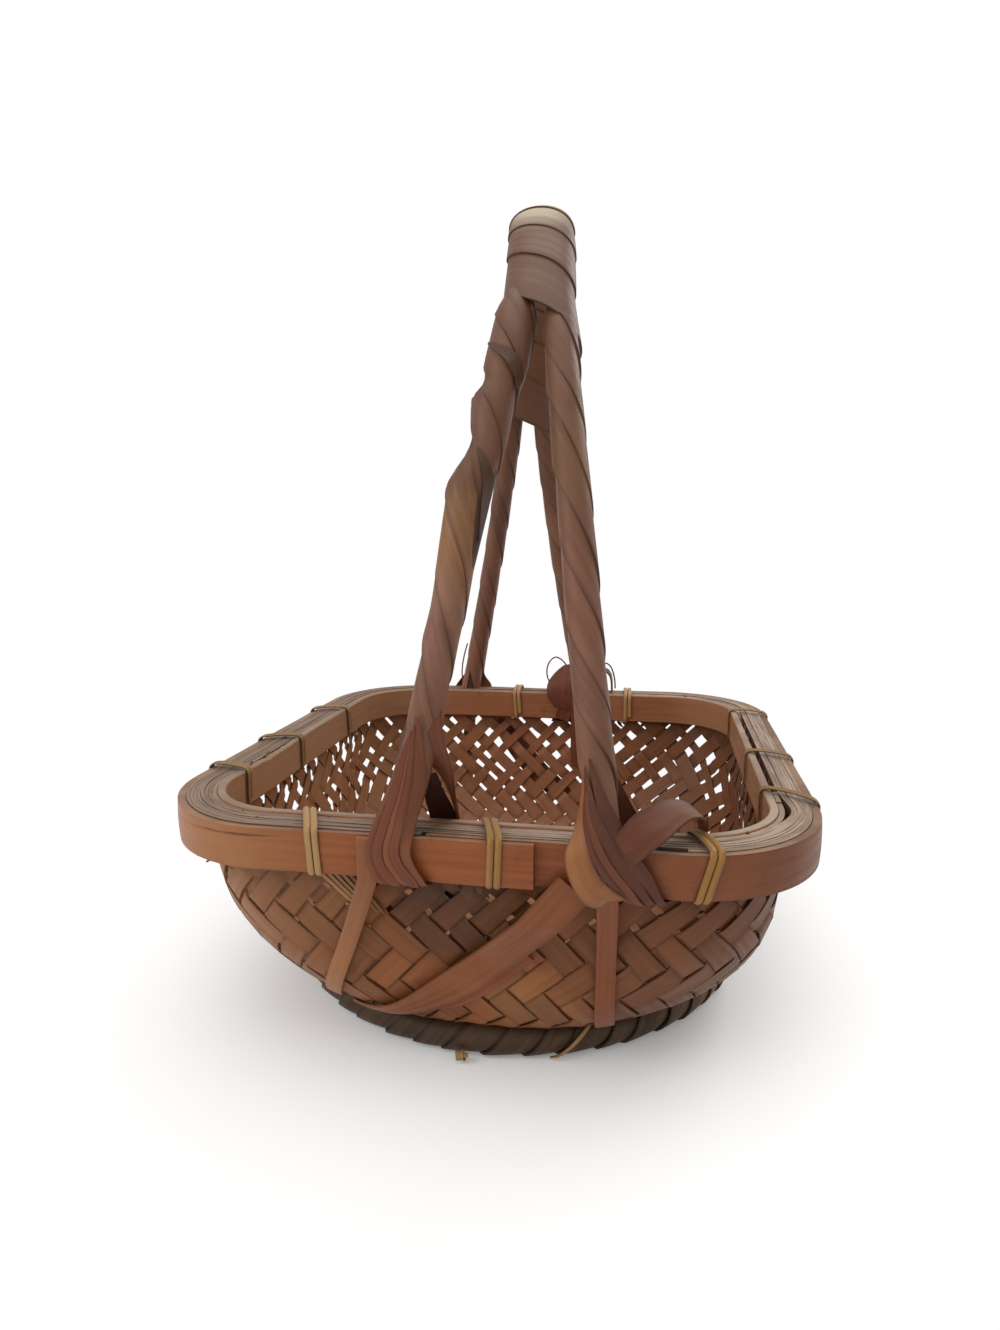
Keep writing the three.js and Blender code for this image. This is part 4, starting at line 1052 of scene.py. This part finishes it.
# Strips of each fan from the leg down to the hoop's lower edge: the place at which each passes under the
# hoops, how far it stands out and its tint, then offsets from the leg's foot, heights and widths
fans = {
    "narrow": [
        (2.5, 3.3, 0.1, [(11.2, 140, 0.7), (7.9, 132, 1.8), (3.7, 120, 2.8), (-1.6, 106, 3.3),
                         (-4.0, 98, 3.5), (-3.3, 92, 3.6), (-0.8, 87, 3.4)]),
        (6.5, 3.9, 0.0, [(11.8, 141, 0.7), (9.2, 132, 1.8), (5.6, 120, 2.8), (0.9, 106, 3.3),
                         (-1.4, 98, 3.6), (-0.3, 92, 3.6), (3.7, 87, 3.4)]),
        (9.6, 3.4, 0.25, [(12.4, 142, 0.7), (10.4, 132, 1.8), (7.6, 120, 2.8), (3.6, 106, 3.3),
                          (1.6, 98, 3.5), (3.2, 92, 3.5), (7.7, 87, 3.3)]),
        (12.4, 4.0, 0.0, [(13.0, 143, 0.8), (11.8, 132, 2.0), (9.7, 120, 3.0), (6.4, 106, 3.4),
                          (4.8, 98, 3.4), (6.7, 92, 3.4), (11.0, 87, 3.2)]),
        (15.2, 3.3, 0.15, [(13.8, 146, 1.5), (13.6, 134, 5.0), (12.8, 121, 6.6), (9.6, 108, 6.2),
                           (8.2, 98, 4.8), (10.0, 92, 4.2), (13.4, 87, 3.6)]),
    ],
    "broad": [
        (6.5, 3.3, 0.95, [(-7.9, 127, 0.6), (-8.3, 119, 2.2), (-9.2, 110, 4.2), (-9.5, 101, 8.6),
                          (-8.0, 94.4, 9.8), (-3.8, 87.6, 10.4)]),
        (11.5, 3.9, -0.25, [(-7.4, 124, 0.6), (-7.0, 111, 2.4), (-3.9, 101.6, 3.0), (-0.5, 95.3, 3.0),
                            (5.0, 89, 3.0)]),
        (14.0, 4.3, 0.1, [(-6.9, 123, 0.6), (-6.1, 113, 2.0), (-1.9, 102.7, 2.6), (2.2, 95.9, 2.6),
                          (7.2, 90, 2.6)]),
        (17.0, 3.6, -0.4, [(-7.6, 131, 0.8), (-4.6, 115.2, 4.2), (-0.5, 106, 5.2), (4.3, 98.1, 5.2),
                           (9.2, 91.6, 5.0)]),
        (20.0, 3.2, -0.5, [(-6.0, 134, 0.8), (-1.0, 117.7, 4.6), (3.0, 109.5, 5.6), (7.9, 101, 5.6),
                           (12.9, 93.6, 5.4)]),
    ],
}
# Strips that come up inside the hoops and back to the leg: a tint, then offsets, insets, heights,
# facings and widths
returns = {
    "narrow": [
        (0.05, [(21, 25, 80, (-1, -0.1, 0), 6), (21, 24.3, 92, (-1, -0.1, 0), 7.5),
                (20.7, 23.6, 103, (-1, -0.3, 0.1), 8), (20.3, 16.5, 113, (-0.8, -0.7, 0.2), 8.5),
                (19.2, 8.2, 125, (-0.35, -0.95, 0.2), 9), (16.7, 1.0, 138, (0, -1, 0.2), 10.5),
                (15.7, 3.4, 146, (0, -1, 0.1), 10.5), (14.5, 8.0, 153, (0, -1, 0.1), 9)]),
        # The second strip's tint of -0.85 darkens it as painted shade, where it goes down inside the bowl
        (-0.85, [(15, 23.2, 62, (0, -1, 0), 9), (15.5, 22.3, 88, (0, -1, 0), 10),
                 (15.8, 22.2, 101, (0, -1, 0.1), 10), (14.5, 17, 111, (0, -1, 0.3), 8),
                 (14, 10, 122, (0, -1, 0.3), 6)]),
    ],
    "broad": [
        (-0.1, [(14, 20.0, 85.5, (0, -1, 0), 9), (11, 19.8, 94, (0, -1, 0), 9.5),
                (7, 19.4, 102.5, (0, -1, 0.2), 10), (3.5, 15.8, 111, (0, -1, 0.3), 9),
                (0.0, 12.8, 120, (0, -1, 0.2), 8), (-3.0, 12.2, 130, (0, -1, 0.1), 5)]),
    ],
}
wallSettle = {"share": 0.45, "power": 1.6, "gap": 0.3}


def wallDepth(x, height):
    size = bowlSize(height)
    past = max(0.0, abs(x) - (size[0] - size[2]))
    return size[1] - size[2] + math.sqrt(max(0.0, size[2] ** 2 - past ** 2))


def stripDepth(x, height, leave, clearance):
    # How far in front a strip lies that leaves the hoop's face and settles on the wall
    settle = lerp(bowl["baseHeight"], rim["bottom"], wallSettle["share"])
    share = clamp((height - settle) / (leave - settle))
    spare = rim["halfDepth"] + wallSettle["gap"] - wallDepth(x, leave) - clearance
    return wallDepth(x, min(height, leave)) + clearance + spare * share ** wallSettle["power"]


def turned(point, back):
    return Vector((-point[0], -point[1], point[2])) if back else Vector(point)


slat = {
    "width": 7.6, "thickness": 2.2, "inset": 0.3, "clear": 0.6, "uneven": 0.05, "arch": 0.25, "tint": 0.1,
}


def addSlat(bm, foot, seed):
    low = bowl["stripFoot"]
    high, leave = (rim[edge] - slat["inset"] for edge in ("outerTop", "bottom"))
    width, thickness, (top, run) = slat["width"], slat["thickness"], foot["slat"]

    def place(along, side):
        height = lerp(high, low, along)
        fall = clamp((leave - height) / (leave - low))
        x = top + run * fall + side * width * (1 + slat["uneven"] * wander(along * 3, seed))
        depth = stripDepth(x, height, leave, slat["clear"]) + thickness + slat["arch"] * arched(side)
        return turned((x, -depth, height), foot["back"])

    addStrip(bm, place, 95, width, 44, 6, thickness, seed, slat["tint"])


def legOffset(foot, height):
    # Where the leg's middle is at that height, from its foot's place and the way round
    line = rods["left" if (foot["place"] < 0) != foot["back"] else "right"]
    distance = line.distanceAt(max(handle["spring"] + 1.0, height))
    spot = line.at(line.length - distance if foot["back"] else distance)
    return (-spot.x if foot["back"] else spot.x) - foot["place"]


# Strips stand out by the nearest figure or more, and those that stand out more lie lower under the hoops
fan = {
    "legRadius": 7.5, "widest": 7.4, "sunk": 0.4, "nearest": 3.2, "onLeg": 0.6, "below": 0.5,
    "hoopTo": 103, "legAfter": 9, "squeezeFrom": 102, "squeeze": 4.6, "roundFrom": 106, "spread": 11.5,
    "thickness": 0.7, "arch": 0.3, "grooves": 0.1, "corner": (1.2, 0.9, 84.9), "turnIn": (4, 84.1),
    "inside": [(14, 84.1), (20, 84.4)], "tuckedInside": [(14, 84.3)],
}
fanReturn = {"thickness": 0.8, "arch": 0.35, "grooves": 0.25}


def fanDepth(foot, offset, height, standOut):
    # On the hoop's face low down, and on the leg's round front higher up
    onHoop = rim["halfDepth"] + standOut
    aside = min(fan["widest"], abs(offset - legOffset(foot, height)))
    onLeg = handle["halfSpan"] + math.sqrt(fan["legRadius"] ** 2 - aside ** 2) - fan["sunk"]
    onLeg += (standOut - fan["nearest"]) * fan["onLeg"]
    return lerp(onHoop, onLeg, ease((height - fan["hoopTo"]) / fan["legAfter"]))


def placeNodes(foot, nodes):
    placed = []
    for (offset, y, height), facing, width in nodes:
        point = (foot["place"] + offset, y, height)
        placed.append((turned(point, foot["back"]), turned(facing, foot["back"]), width))
    return placed


def addFan(bm, foot, rng):
    strips, tucked = fans[foot["fan"]], foot["tail"] is None
    for k, (under, standOut, tint, front) in enumerate(strips):
        nodes = []
        for offset, height, width in front:
            legAt = legOffset(foot, height)
            if foot["back"] and height > fan["squeezeFrom"]:
                offset = legAt + clamp(offset - legAt, -fan["squeeze"], fan["squeeze"])
            depth = fanDepth(foot, offset, height, standOut)
            aside = (offset - legAt) / fan["legRadius"] if height > fan["roundFrom"] else 0.0
            nodes.append(((offset, -depth, height), (aside, -1, 0.1), width))
        last, layer = nodes[-1][2], (standOut - fan["nearest"]) * fan["below"]
        inset, share, height = fan["corner"]
        out = inset - rim["halfDepth"] - standOut * share
        nodes.append(((lerp(front[-1][0], under, 0.6), out, height - layer), (0, -0.7, -0.75), last))
        inset, height = fan["turnIn"]
        nodes.append(((under, inset - rim["halfDepth"], height - layer), (0, 0, -1), last * 0.9))
        spread = fan["spread"] / len(strips)
        home = foot["lean"] + (k - (len(strips) - 1) / 2) * spread
        for inset, height in fan["tuckedInside" if tucked else "inside"]:
            nodes.append(((home, inset - rim["halfDepth"], height - layer), (0, 0, -1), spread * 1.1))
        addRibbon(bm, placeNodes(foot, nodes), 90, fan["thickness"], 4, fan["arch"], fan["grooves"],
                  k + rng.random(), tint)
    for tint, spots in [] if tucked else returns[foot["fan"]]:
        nodes = [((offset, inset - rim["halfDepth"], height), facing, width)
                 for offset, inset, height, facing, width in spots]
        addRibbon(bm, placeNodes(foot, nodes), 80, fanReturn["thickness"], 8, fanReturn["arch"],
                  fanReturn["grooves"], rng.random() * 9, tint)


# A tail comes down inside the inner hoop and goes on along the wall, a little clear of both
tail = {
    "hoopClear": 0.4, "wallClear": 0.6, "room": 1.8, "drop": 47.7, "thickness": 1.7, "facing": (0, 1, 0.15),
}


def addTail(bm, foot, seed):
    home = foot["tail"]
    inset = rim["innerInset"] + rim["innerThickness"] + tail["hoopClear"] + tail["room"]
    low = rim["top"] - tail["drop"]
    wall = rim["halfDepth"] - wallDepth(foot["place"] + home, low) + bowl["wall"]
    onWall = max(inset, wall + tail["wallClear"] + tail["room"])
    spots = [
        (lerp(home, legOffset(foot, 121), 0.8), 12.5, 121, 5),
        (lerp(home, legOffset(foot, 109), 0.4), 17.5, 109, 7),
        (home, inset, 99, 8), (home, inset, 88, 8), (home, onWall + 0.4, 68, 7.6), (home, onWall, low, 6.5),
    ]
    nodes = [((offset, depth - rim["halfDepth"], height), tail["facing"], width)
             for offset, depth, height, width in spots]
    addRibbon(bm, placeNodes(foot, nodes), 40, tail["thickness"], 4, 0.3, 0.15, seed, 0.05)


rng = random.Random(11)
for k, (name, foot) in enumerate(feet.items()):
    foot["back"] = name.startswith("back")
    bm = newPiece()
    addSlat(bm, foot, k + 1)
    finishPiece(bm, f"foot_slat_{name}", finishes["slat"], [f"slat_{name}"], 0.4)
    bm = newPiece()
    addFan(bm, foot, rng)
    finishPiece(bm, f"foot_fan_{name}", finishes["fan"], [f"strap_{name}"])
    if foot["tail"] is not None:
        bm = newPiece()
        addTail(bm, foot, k + 7)
        finishPiece(bm, f"inner_tail_{name}", finishes["fan"], [f"tail_{name}"], 0.3)

# Sashes: slanting strips laid on the wall, through places across and shares of its height
sash = {
    "places": [(-52, 0.028), (-36, 0.09), (-20, 0.2), (1, 0.413), (19, 0.654), (41, 1.02)],
    "leave": rim["bottom"] - 13.5, "tip": 0.16, "arch": 0.3, "ridges": 0.22, "near": 0.3, "thickness": 0.9,
}
wideSash = {"start": 0, "end": 1, "drop": 0, "width": 13.5, "taper": 0.48, "clear": 3.6, "seed": 2.2}
secondSash = {"start": 0.3, "end": 0.7, "drop": 6, "width": 9, "taper": 0.32, "clear": 1.7, "seed": 6.1}


def addSash(bm, look, back=False, tint=0.0):
    width, start, end = look["width"], look["start"], look["end"]
    spots = [Vector((x, lerp(bowl["stripFoot"], rim["bottom"], share))) for x, share in sash["places"]]
    knots = marksAlong(spots)
    line = curveThrough(knots, spots)

    def place(along, side):
        spot = knots[-1] * lerp(start, end, along)
        ahead, behind = min(knots[-1], spot + sash["near"]), max(0.0, spot - sash["near"])
        way = (line(ahead) - line(behind)).normalized()
        middle = line(spot)
        offset = side * width * lerp(sash["tip"], 1, ease(along / look["taper"])) - look["drop"]
        x, z = middle.x - way.y * offset, middle.y + way.x * offset
        lift = sash["arch"] * arched(side) + sash["ridges"] * wander(side * 11, look["seed"])
        return turned((x, -stripDepth(x, z, sash["leave"], look["clear"]) - lift, z), back)

    length = knots[-1] * (end - start)
    addStrip(bm, place, length, width, 70, 16, sash["thickness"], look["seed"], tint)


for back, ending in ((False, "front"), (True, "back")):
    bm = newPiece()
    addSash(bm, wideSash, back, 0.15)
    finishPiece(bm, f"wide_sash_{ending}", finishes["slat"], [f"sash_{ending}"])
bm = newPiece()
addSash(bm, secondSash)
finishPiece(bm, "sash_second_strip", finishes["slat"], ["sash_front_backing"])

# Loops of strip on top of the rim, each between two edge lines given as pairs of points
loops = {
    "front_loop": ("bow_front", 0.9, [
        ((57.5, -136.6, 94.5), (50.5, -135.4, 104.0)), ((62.7, -137.8, 99.8), (55.3, -136.0, 108.9)),
        ((67.0, -137.6, 104.0), (60.2, -132.0, 113.7)), ((71.2, -136.2, 107.4), (66.4, -127.0, 115.9)),
        ((75.5, -132.8, 110.9), (71.4, -121.5, 116.3)), ((79.0, -129.5, 112.8), (76.0, -116.8, 115.0)),
        ((82.2, -126.3, 112.7), (80.4, -113.0, 111.6)), ((84.4, -122.5, 110.6), (82.8, -110.5, 107.2)),
        ((85.6, -119.0, 107.0), (83.6, -109.8, 103.0)), ((85.6, -116.5, 103.4), (83.5, -110.5, 98.0))]),
    "back_loop_large": ("bow_back_large", 0.8, [
        ((16.0, 113.2, 92.0), (5.5, 113.2, 94.0)), ((16.5, 113.2, 99.0), (1.5, 113.2, 100.0)),
        ((16.5, 114.4, 107.0), (0.3, 114.4, 106.0)), ((16.5, 117.5, 113.8), (1.5, 118.0, 110.5)),
        ((15.8, 121.5, 118.2), (5.5, 122.0, 115.5)), ((15.0, 126.0, 119.8), (9.5, 126.0, 118.6)),
        ((14.8, 130.0, 116.5), (6.0, 130.2, 114.5)), ((14.6, 132.0, 109.5), (2.0, 132.0, 107.5)),
        ((14.5, 132.2, 103.2), (1.0, 132.2, 103.2))]),
    "back_loop_small": ("bow_back_small", 0.8, [
        ((32.6, 120.0, 103.2), (33.0, 132.0, 103.2)), ((32.2, 120.0, 109.5), (32.6, 132.0, 109.5)),
        ((34.0, 120.0, 114.8), (34.2, 132.0, 115.0)), ((37.6, 120.0, 116.4), (37.6, 132.0, 116.6)),
        ((40.6, 120.0, 112.6), (40.4, 132.0, 112.8)), ((41.6, 120.0, 103.2), (41.4, 132.0, 103.2))]),
}
for k, (name, (node, thickness, edges)) in enumerate(loops.items()):
    bm = newPiece()
    addSheet(bm, edges, 56, thickness, 10, 0.35, 0.18, k + 3.3, -0.15)
    finishPiece(bm, name, finishes["fan"], [node])

# Thin ends that stand up beside the back legs
wires = {
    "places": [
        [(1.2, 131, 103), (-1.8, 131, 112), (-0.4, 130.5, 119.5), (4.0, 130, 123.4), (9.0, 129.5, 121.0),
         (13, 129, 115)],
        [(33.5, 131, 117.0), (36.5, 131, 120.0), (40.0, 131, 117.6), (42.4, 131, 110), (43, 131, 103.5)],
        [(-58.6, 131.5, 103.5), (-59.4, 132, 112), (-58.2, 132, 121), (-55.4, 131.5, 131)],
    ],
    "width": 0.9, "thickness": 0.6,
}
bm = newPiece()
for k, places in enumerate(wires["places"]):
    nodes = [(place, (0, -1, 0.2), wires["width"]) for place in places]
    addRibbon(bm, nodes, 40, wires["thickness"], 2, 0.1, 0.0, k + 12.5, 0.0)
finishPiece(bm, "thin_ends", finishes["fan"], [])
print("feet, sashes and loops made")

# Foot ring: two strips wound over its core, flat where they stand; the ends lap at the back
footRing = {
    "radius": 102.7, "height": 6.1, "stand": 1.0, "turns": 23, "strands": 2, "openDeg": 15, "lapDeg": 24,
    "overlap": 1.12, "tucked": 5.4, "proud": 6.9, "profile": 0.7, "thickness": 0.9, "lumps": 0.35,
    "uneven": 0.3, "sway": 0.5,
}


def footPoint(ringAngle, tubeAngle, radius):
    reach = footRing["radius"] + radius * math.cos(tubeAngle)
    height = max(footRing["height"] + radius * math.sin(tubeAngle), footRing["stand"])
    return Vector((reach * math.cos(ringAngle), reach * math.sin(ringAngle), height))


bm = newPiece()
turns, strands = footRing["turns"], footRing["strands"]
turnDeg = (360 - footRing["openDeg"] + footRing["lapDeg"]) / turns
for k in range(strands):
    def footPlace(along, side, k=k):
        middle = 90 + (footRing["openDeg"] - footRing["lapDeg"]) / 2 + turnDeg * turns * along
        wide = footRing["overlap"] + footRing["uneven"] * wander(middle * 0.09, k + 4)
        wide *= turnDeg / strands
        tube = 2 * math.pi * (turns * along + k / strands) + footRing["sway"] * wander(middle * 0.05, k + 8)
        radius = lerp(footRing["tucked"], footRing["proud"], (0.5 - side) ** footRing["profile"])
        radius += footRing["lumps"] * wander(middle * 0.1, k + 6)
        return footPoint(math.radians(middle + side * wide), tube, radius)

    addStrip(bm, footPlace, turns * 50, 15, turns * 20, 5, footRing["thickness"], 5.5 + k, 0.0, True)
finishPiece(bm, "foot_ring_winding", finishes["foot"], ["foot_ring_wrap"])

# The cane tie goes slantwise over the ring, and the knot is a coil that grows narrower
tie = {
    "ringDeg": (-64.5, -74.0), "tubeDeg": (66, -44), "radius": 8.1, "width": 1.5, "thickness": 0.7,
    "spans": 7,
}
bm = newPiece()
nodes = []
for i in range(tie["spans"] + 1):
    share = i / tie["spans"]
    ringAngle, tubeAngle = (math.radians(lerp(*tie[key], share)) for key in ("ringDeg", "tubeDeg"))
    point = footPoint(ringAngle, tubeAngle, tie["radius"])
    nodes.append((point, point - footPoint(ringAngle, tubeAngle, 0.1), tie["width"]))
addRibbon(bm, nodes, 30, tie["thickness"], 3, 0.25, 0.0, 4.4, 0.3)
finishPiece(bm, "foot_tie", finishes["cane"], ["foot_cane_tie"])

curl = {"spans": 25, "turn": 0.62, "radius": 1.87, "shrink": 0.0255, "reach": (-1.6, 1.8), "width": 2.4}
bm = newPiece()
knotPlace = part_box("foot_knot")
knotMiddle = (knotPlace[0] + knotPlace[1]) / 2 / mm
nodes = []
for i in range(curl["spans"] + 1):
    angle, out = i * curl["turn"], curl["radius"] - curl["shrink"] * i
    away = Vector((0.25 * math.sin(angle * 0.5), math.cos(angle), math.sin(angle)))
    aside = Vector((lerp(*curl["reach"], i / curl["spans"]), 0, 0))
    nodes.append((knotMiddle + away * out + aside, away, curl["width"]))
addRibbon(bm, nodes, 90, 0.5, 2, 0.1, 0.0, 8.8, 0.0)
finishPiece(bm, "foot_curl", finishes["cane"], ["foot_knot"])
print("foot ring made")

# Frayed ends of the weave that show under the hoops: marks along the rim with their number of ends,
# broken ends at the middle of the front, and slivers that hang on the wall at the left
frays = {
    "bunches": [(-118, 5), (-104, 4), (150, 3), (210, 2), (430, 3), (560, 2), (690, 3), (800, 3)],
    "around": 14, "insets": (6, 12), "lean": 7, "drops": (3, 6.5), "widths": (1.2, 3.6), "thickness": 0.4,
    "broken": [(1.5, 5.5, 8.5), (5.5, 4.0, 6.0), (-2.5, 3.0, 5.5)], "brokenAt": (-127.5, 86.5),
    "slivers": 5, "sliverStart": (-56, 80.5), "sliverGap": 2.9, "sliverRun": 3.3, "sliverWidth": 1.7,
}
bm = newPiece()
rng = random.Random(21)
for middle, count in frays["bunches"]:
    for _ in range(count):
        mark = middle + rng.uniform(-frays["around"], frays["around"])
        inset = rng.uniform(*frays["insets"])
        lean = rng.uniform(-frays["lean"], frays["lean"])
        drop, width = rng.uniform(*frays["drops"]), rng.uniform(*frays["widths"])
        _, outward, _ = rimFrame(mark)
        low = rim["bottom"]
        nodes = [
            (rimPoint(mark, inset, low + 2.5), outward, width),
            (rimPoint(mark + lean * 0.4, inset + 0.4, low - drop * 0.5), outward, width * 0.9),
            (rimPoint(mark + lean, inset - rng.uniform(-1, 2), low - drop), outward, width * 0.35),
        ]
        addRibbon(bm, nodes, 8, frays["thickness"], 1, 0.0, 0.0, rng.random() * 9, 0.0)
y, z = frays["brokenAt"]
for x, width, drop in frays["broken"]:
    nodes = [
        ((x, y, z), (0, -1, 0), width), ((x + 0.8, y - 1, z - drop * 0.6), (0, -1, -0.2), width),
        ((x + 2.2, y - 2, z - drop), (0.2, -1, -0.4), width * 0.4),
    ]
    addRibbon(bm, nodes, 12, frays["thickness"], 4, 0.3, 0.3, x + 20.5, 0.35)
left, top = frays["sliverStart"]
for k in range(frays["slivers"]):
    nodes = []
    for i in range(5):
        x = left + k * frays["sliverGap"] + i * frays["sliverRun"]
        height = top - i * (3.0 + 0.2 * k)
        width = frays["sliverWidth"] if i < 4 else 0.5
        nodes.append(((x, -wallDepth(x, height) - 1.5, height), (0, -1, -0.3), width))
    addRibbon(bm, nodes, 20, frays["thickness"], 2, 0.1, 0.0, k + 41.5, 0.9 - 0.12 * k)
finishPiece(bm, "frayed_ends", finishes["weave"], [])

# Floor and background: white to the camera, with the basket's own shadow on the floor
floorLook = {
    "size": 4.0, "drop": 0.0003, "bright": (0.8, 0.8, 0.79, 1), "seen": (0.88, 0.88, 0.87, 1), "glow": 0.14,
    "fadeFrom": 0.1, "fadeTo": 0.27, "white": (1, 1, 1, 1),
}
floorMesh = bpy.data.meshes.new("floor")
floorShape = bmesh.new()
bmesh.ops.create_grid(floorShape, x_segments=1, y_segments=1, size=floorLook["size"])
floorShape.to_mesh(floorMesh)
floorShape.free()
floor = bpy.data.objects.new("floor", floorMesh)
floor.location.z = -floorLook["drop"]
bpy.context.scene.collection.objects.link(floor)
paper = Finish("paper")
light = paper.add("ShaderNodeLightPath")
seen = paper.sums("ADD", light.outputs["Is Camera Ray"], light.outputs["Is Glossy Ray"])
seen = paper.sums("ADD", seen, light.outputs["Is Transmission Ray"], 0.0, True)
floorPlace = paper.add("ShaderNodeTexCoord").outputs["Object"]
reach = paper.add("ShaderNodeVectorMath", {"operation": "LENGTH"}, i0=floorPlace)
far = paper.span(reach.outputs["Value"], floorLook["fadeFrom"], floorLook["fadeTo"])
bounced = paper.add("ShaderNodeBsdfDiffuse", None, Color=floorLook["bright"])
matt = paper.add("ShaderNodeBsdfDiffuse", None, Color=floorLook["seen"])
glow = paper.add("ShaderNodeEmission", None, Color=floorLook["white"], Strength=floorLook["glow"])
near = paper.add("ShaderNodeAddShader", None, i0=matt.outputs[0], i1=glow.outputs[0])
white = paper.add("ShaderNodeEmission", None, Color=floorLook["white"], Strength=1.0)
shown = paper.add("ShaderNodeMixShader", None, i0=far, i1=near.outputs[0], i2=white.outputs[0])
total = paper.add("ShaderNodeMixShader", None, i0=seen, i1=bounced.outputs[0], i2=shown.outputs[0])
paper.add("ShaderNodeOutputMaterial", None, Surface=total.outputs[0])
floorMesh.materials.append(paper.material)

world = bpy.data.worlds.new("studio")
bpy.context.scene.world = world
world.use_nodes = True
worldTree = world.node_tree
worldTree.nodes.clear()
studio = {"ambient": 0.6, "seen": 1.0}
rayKind = worldTree.nodes.new("ShaderNodeLightPath")
strength = worldTree.nodes.new("ShaderNodeMapRange")
strength.inputs["To Min"].default_value = studio["ambient"]
strength.inputs["To Max"].default_value = studio["seen"]
sky = worldTree.nodes.new("ShaderNodeBackground")
worldOut = worldTree.nodes.new("ShaderNodeOutputWorld")
worldTree.links.new(rayKind.outputs["Is Camera Ray"], strength.inputs["Value"])
worldTree.links.new(strength.outputs["Result"], sky.inputs["Strength"])
worldTree.links.new(sky.outputs["Background"], worldOut.inputs["Surface"])
sky.inputs["Color"].default_value = floorLook["white"]


def addLamp(name, spot, aim, size, power):
    data = bpy.data.lights.new(name, "AREA")
    data.shape = "DISK"
    data.size = size
    data.energy = power
    lamp = bpy.data.objects.new(name, data)
    lamp.location = spot
    lamp.rotation_mode = "QUATERNION"
    lamp.rotation_quaternion = (Vector(spot) - Vector(aim)).to_track_quat("Z", "Y")
    bpy.context.scene.collection.objects.link(lamp)


# Places in metres, then size and power; all of them face the basket
lamps = {
    "ceiling": ((0.1, -0.1, 1.7), 1.8, 13), "window": ((-1.1, -0.9, 0.9), 1.2, 8),
    "back window": ((0.9, 0.9, 1.0), 0.9, 7),
}
for name, (spot, size, power) in lamps.items():
    addLamp(name, spot, (0, 0, 0.1), size, power)

# Camera, placed and turned as the photograph's was
view = {
    "place": (64.25, -395.29, 210.34), "yaw": 0.1832, "pitch": 0.1726, "roll": -0.0058,
    "focalPixels": 816.56, "longSide": 1330, "sensor": 36.0, "clipStart": 0.01,
}
yaw, pitch = view["yaw"], view["pitch"]
ahead = Vector((-math.sin(yaw) * math.cos(pitch), math.cos(yaw) * math.cos(pitch), -math.sin(pitch)))
right = Vector((math.cos(yaw), math.sin(yaw), 0))
upward = right.cross(ahead)
rolledRight = right * math.cos(view["roll"]) + upward * math.sin(view["roll"])
rolledUp = upward * math.cos(view["roll"]) - right * math.sin(view["roll"])
lens = bpy.data.cameras.new("camera")
lens.sensor_width = view["sensor"]
lens.lens = view["focalPixels"] / view["longSide"] * view["sensor"]
lens.clip_start = view["clipStart"]
camera = bpy.data.objects.new("camera", lens)
turn = Matrix((rolledRight, rolledUp, -ahead)).transposed()
camera.matrix_world = Matrix.Translation(Vector(view["place"]) * mm) @ turn.to_4x4()
bpy.context.scene.collection.objects.link(camera)
bpy.context.scene.camera = camera
bpy.context.scene.view_settings.view_transform = "Standard"
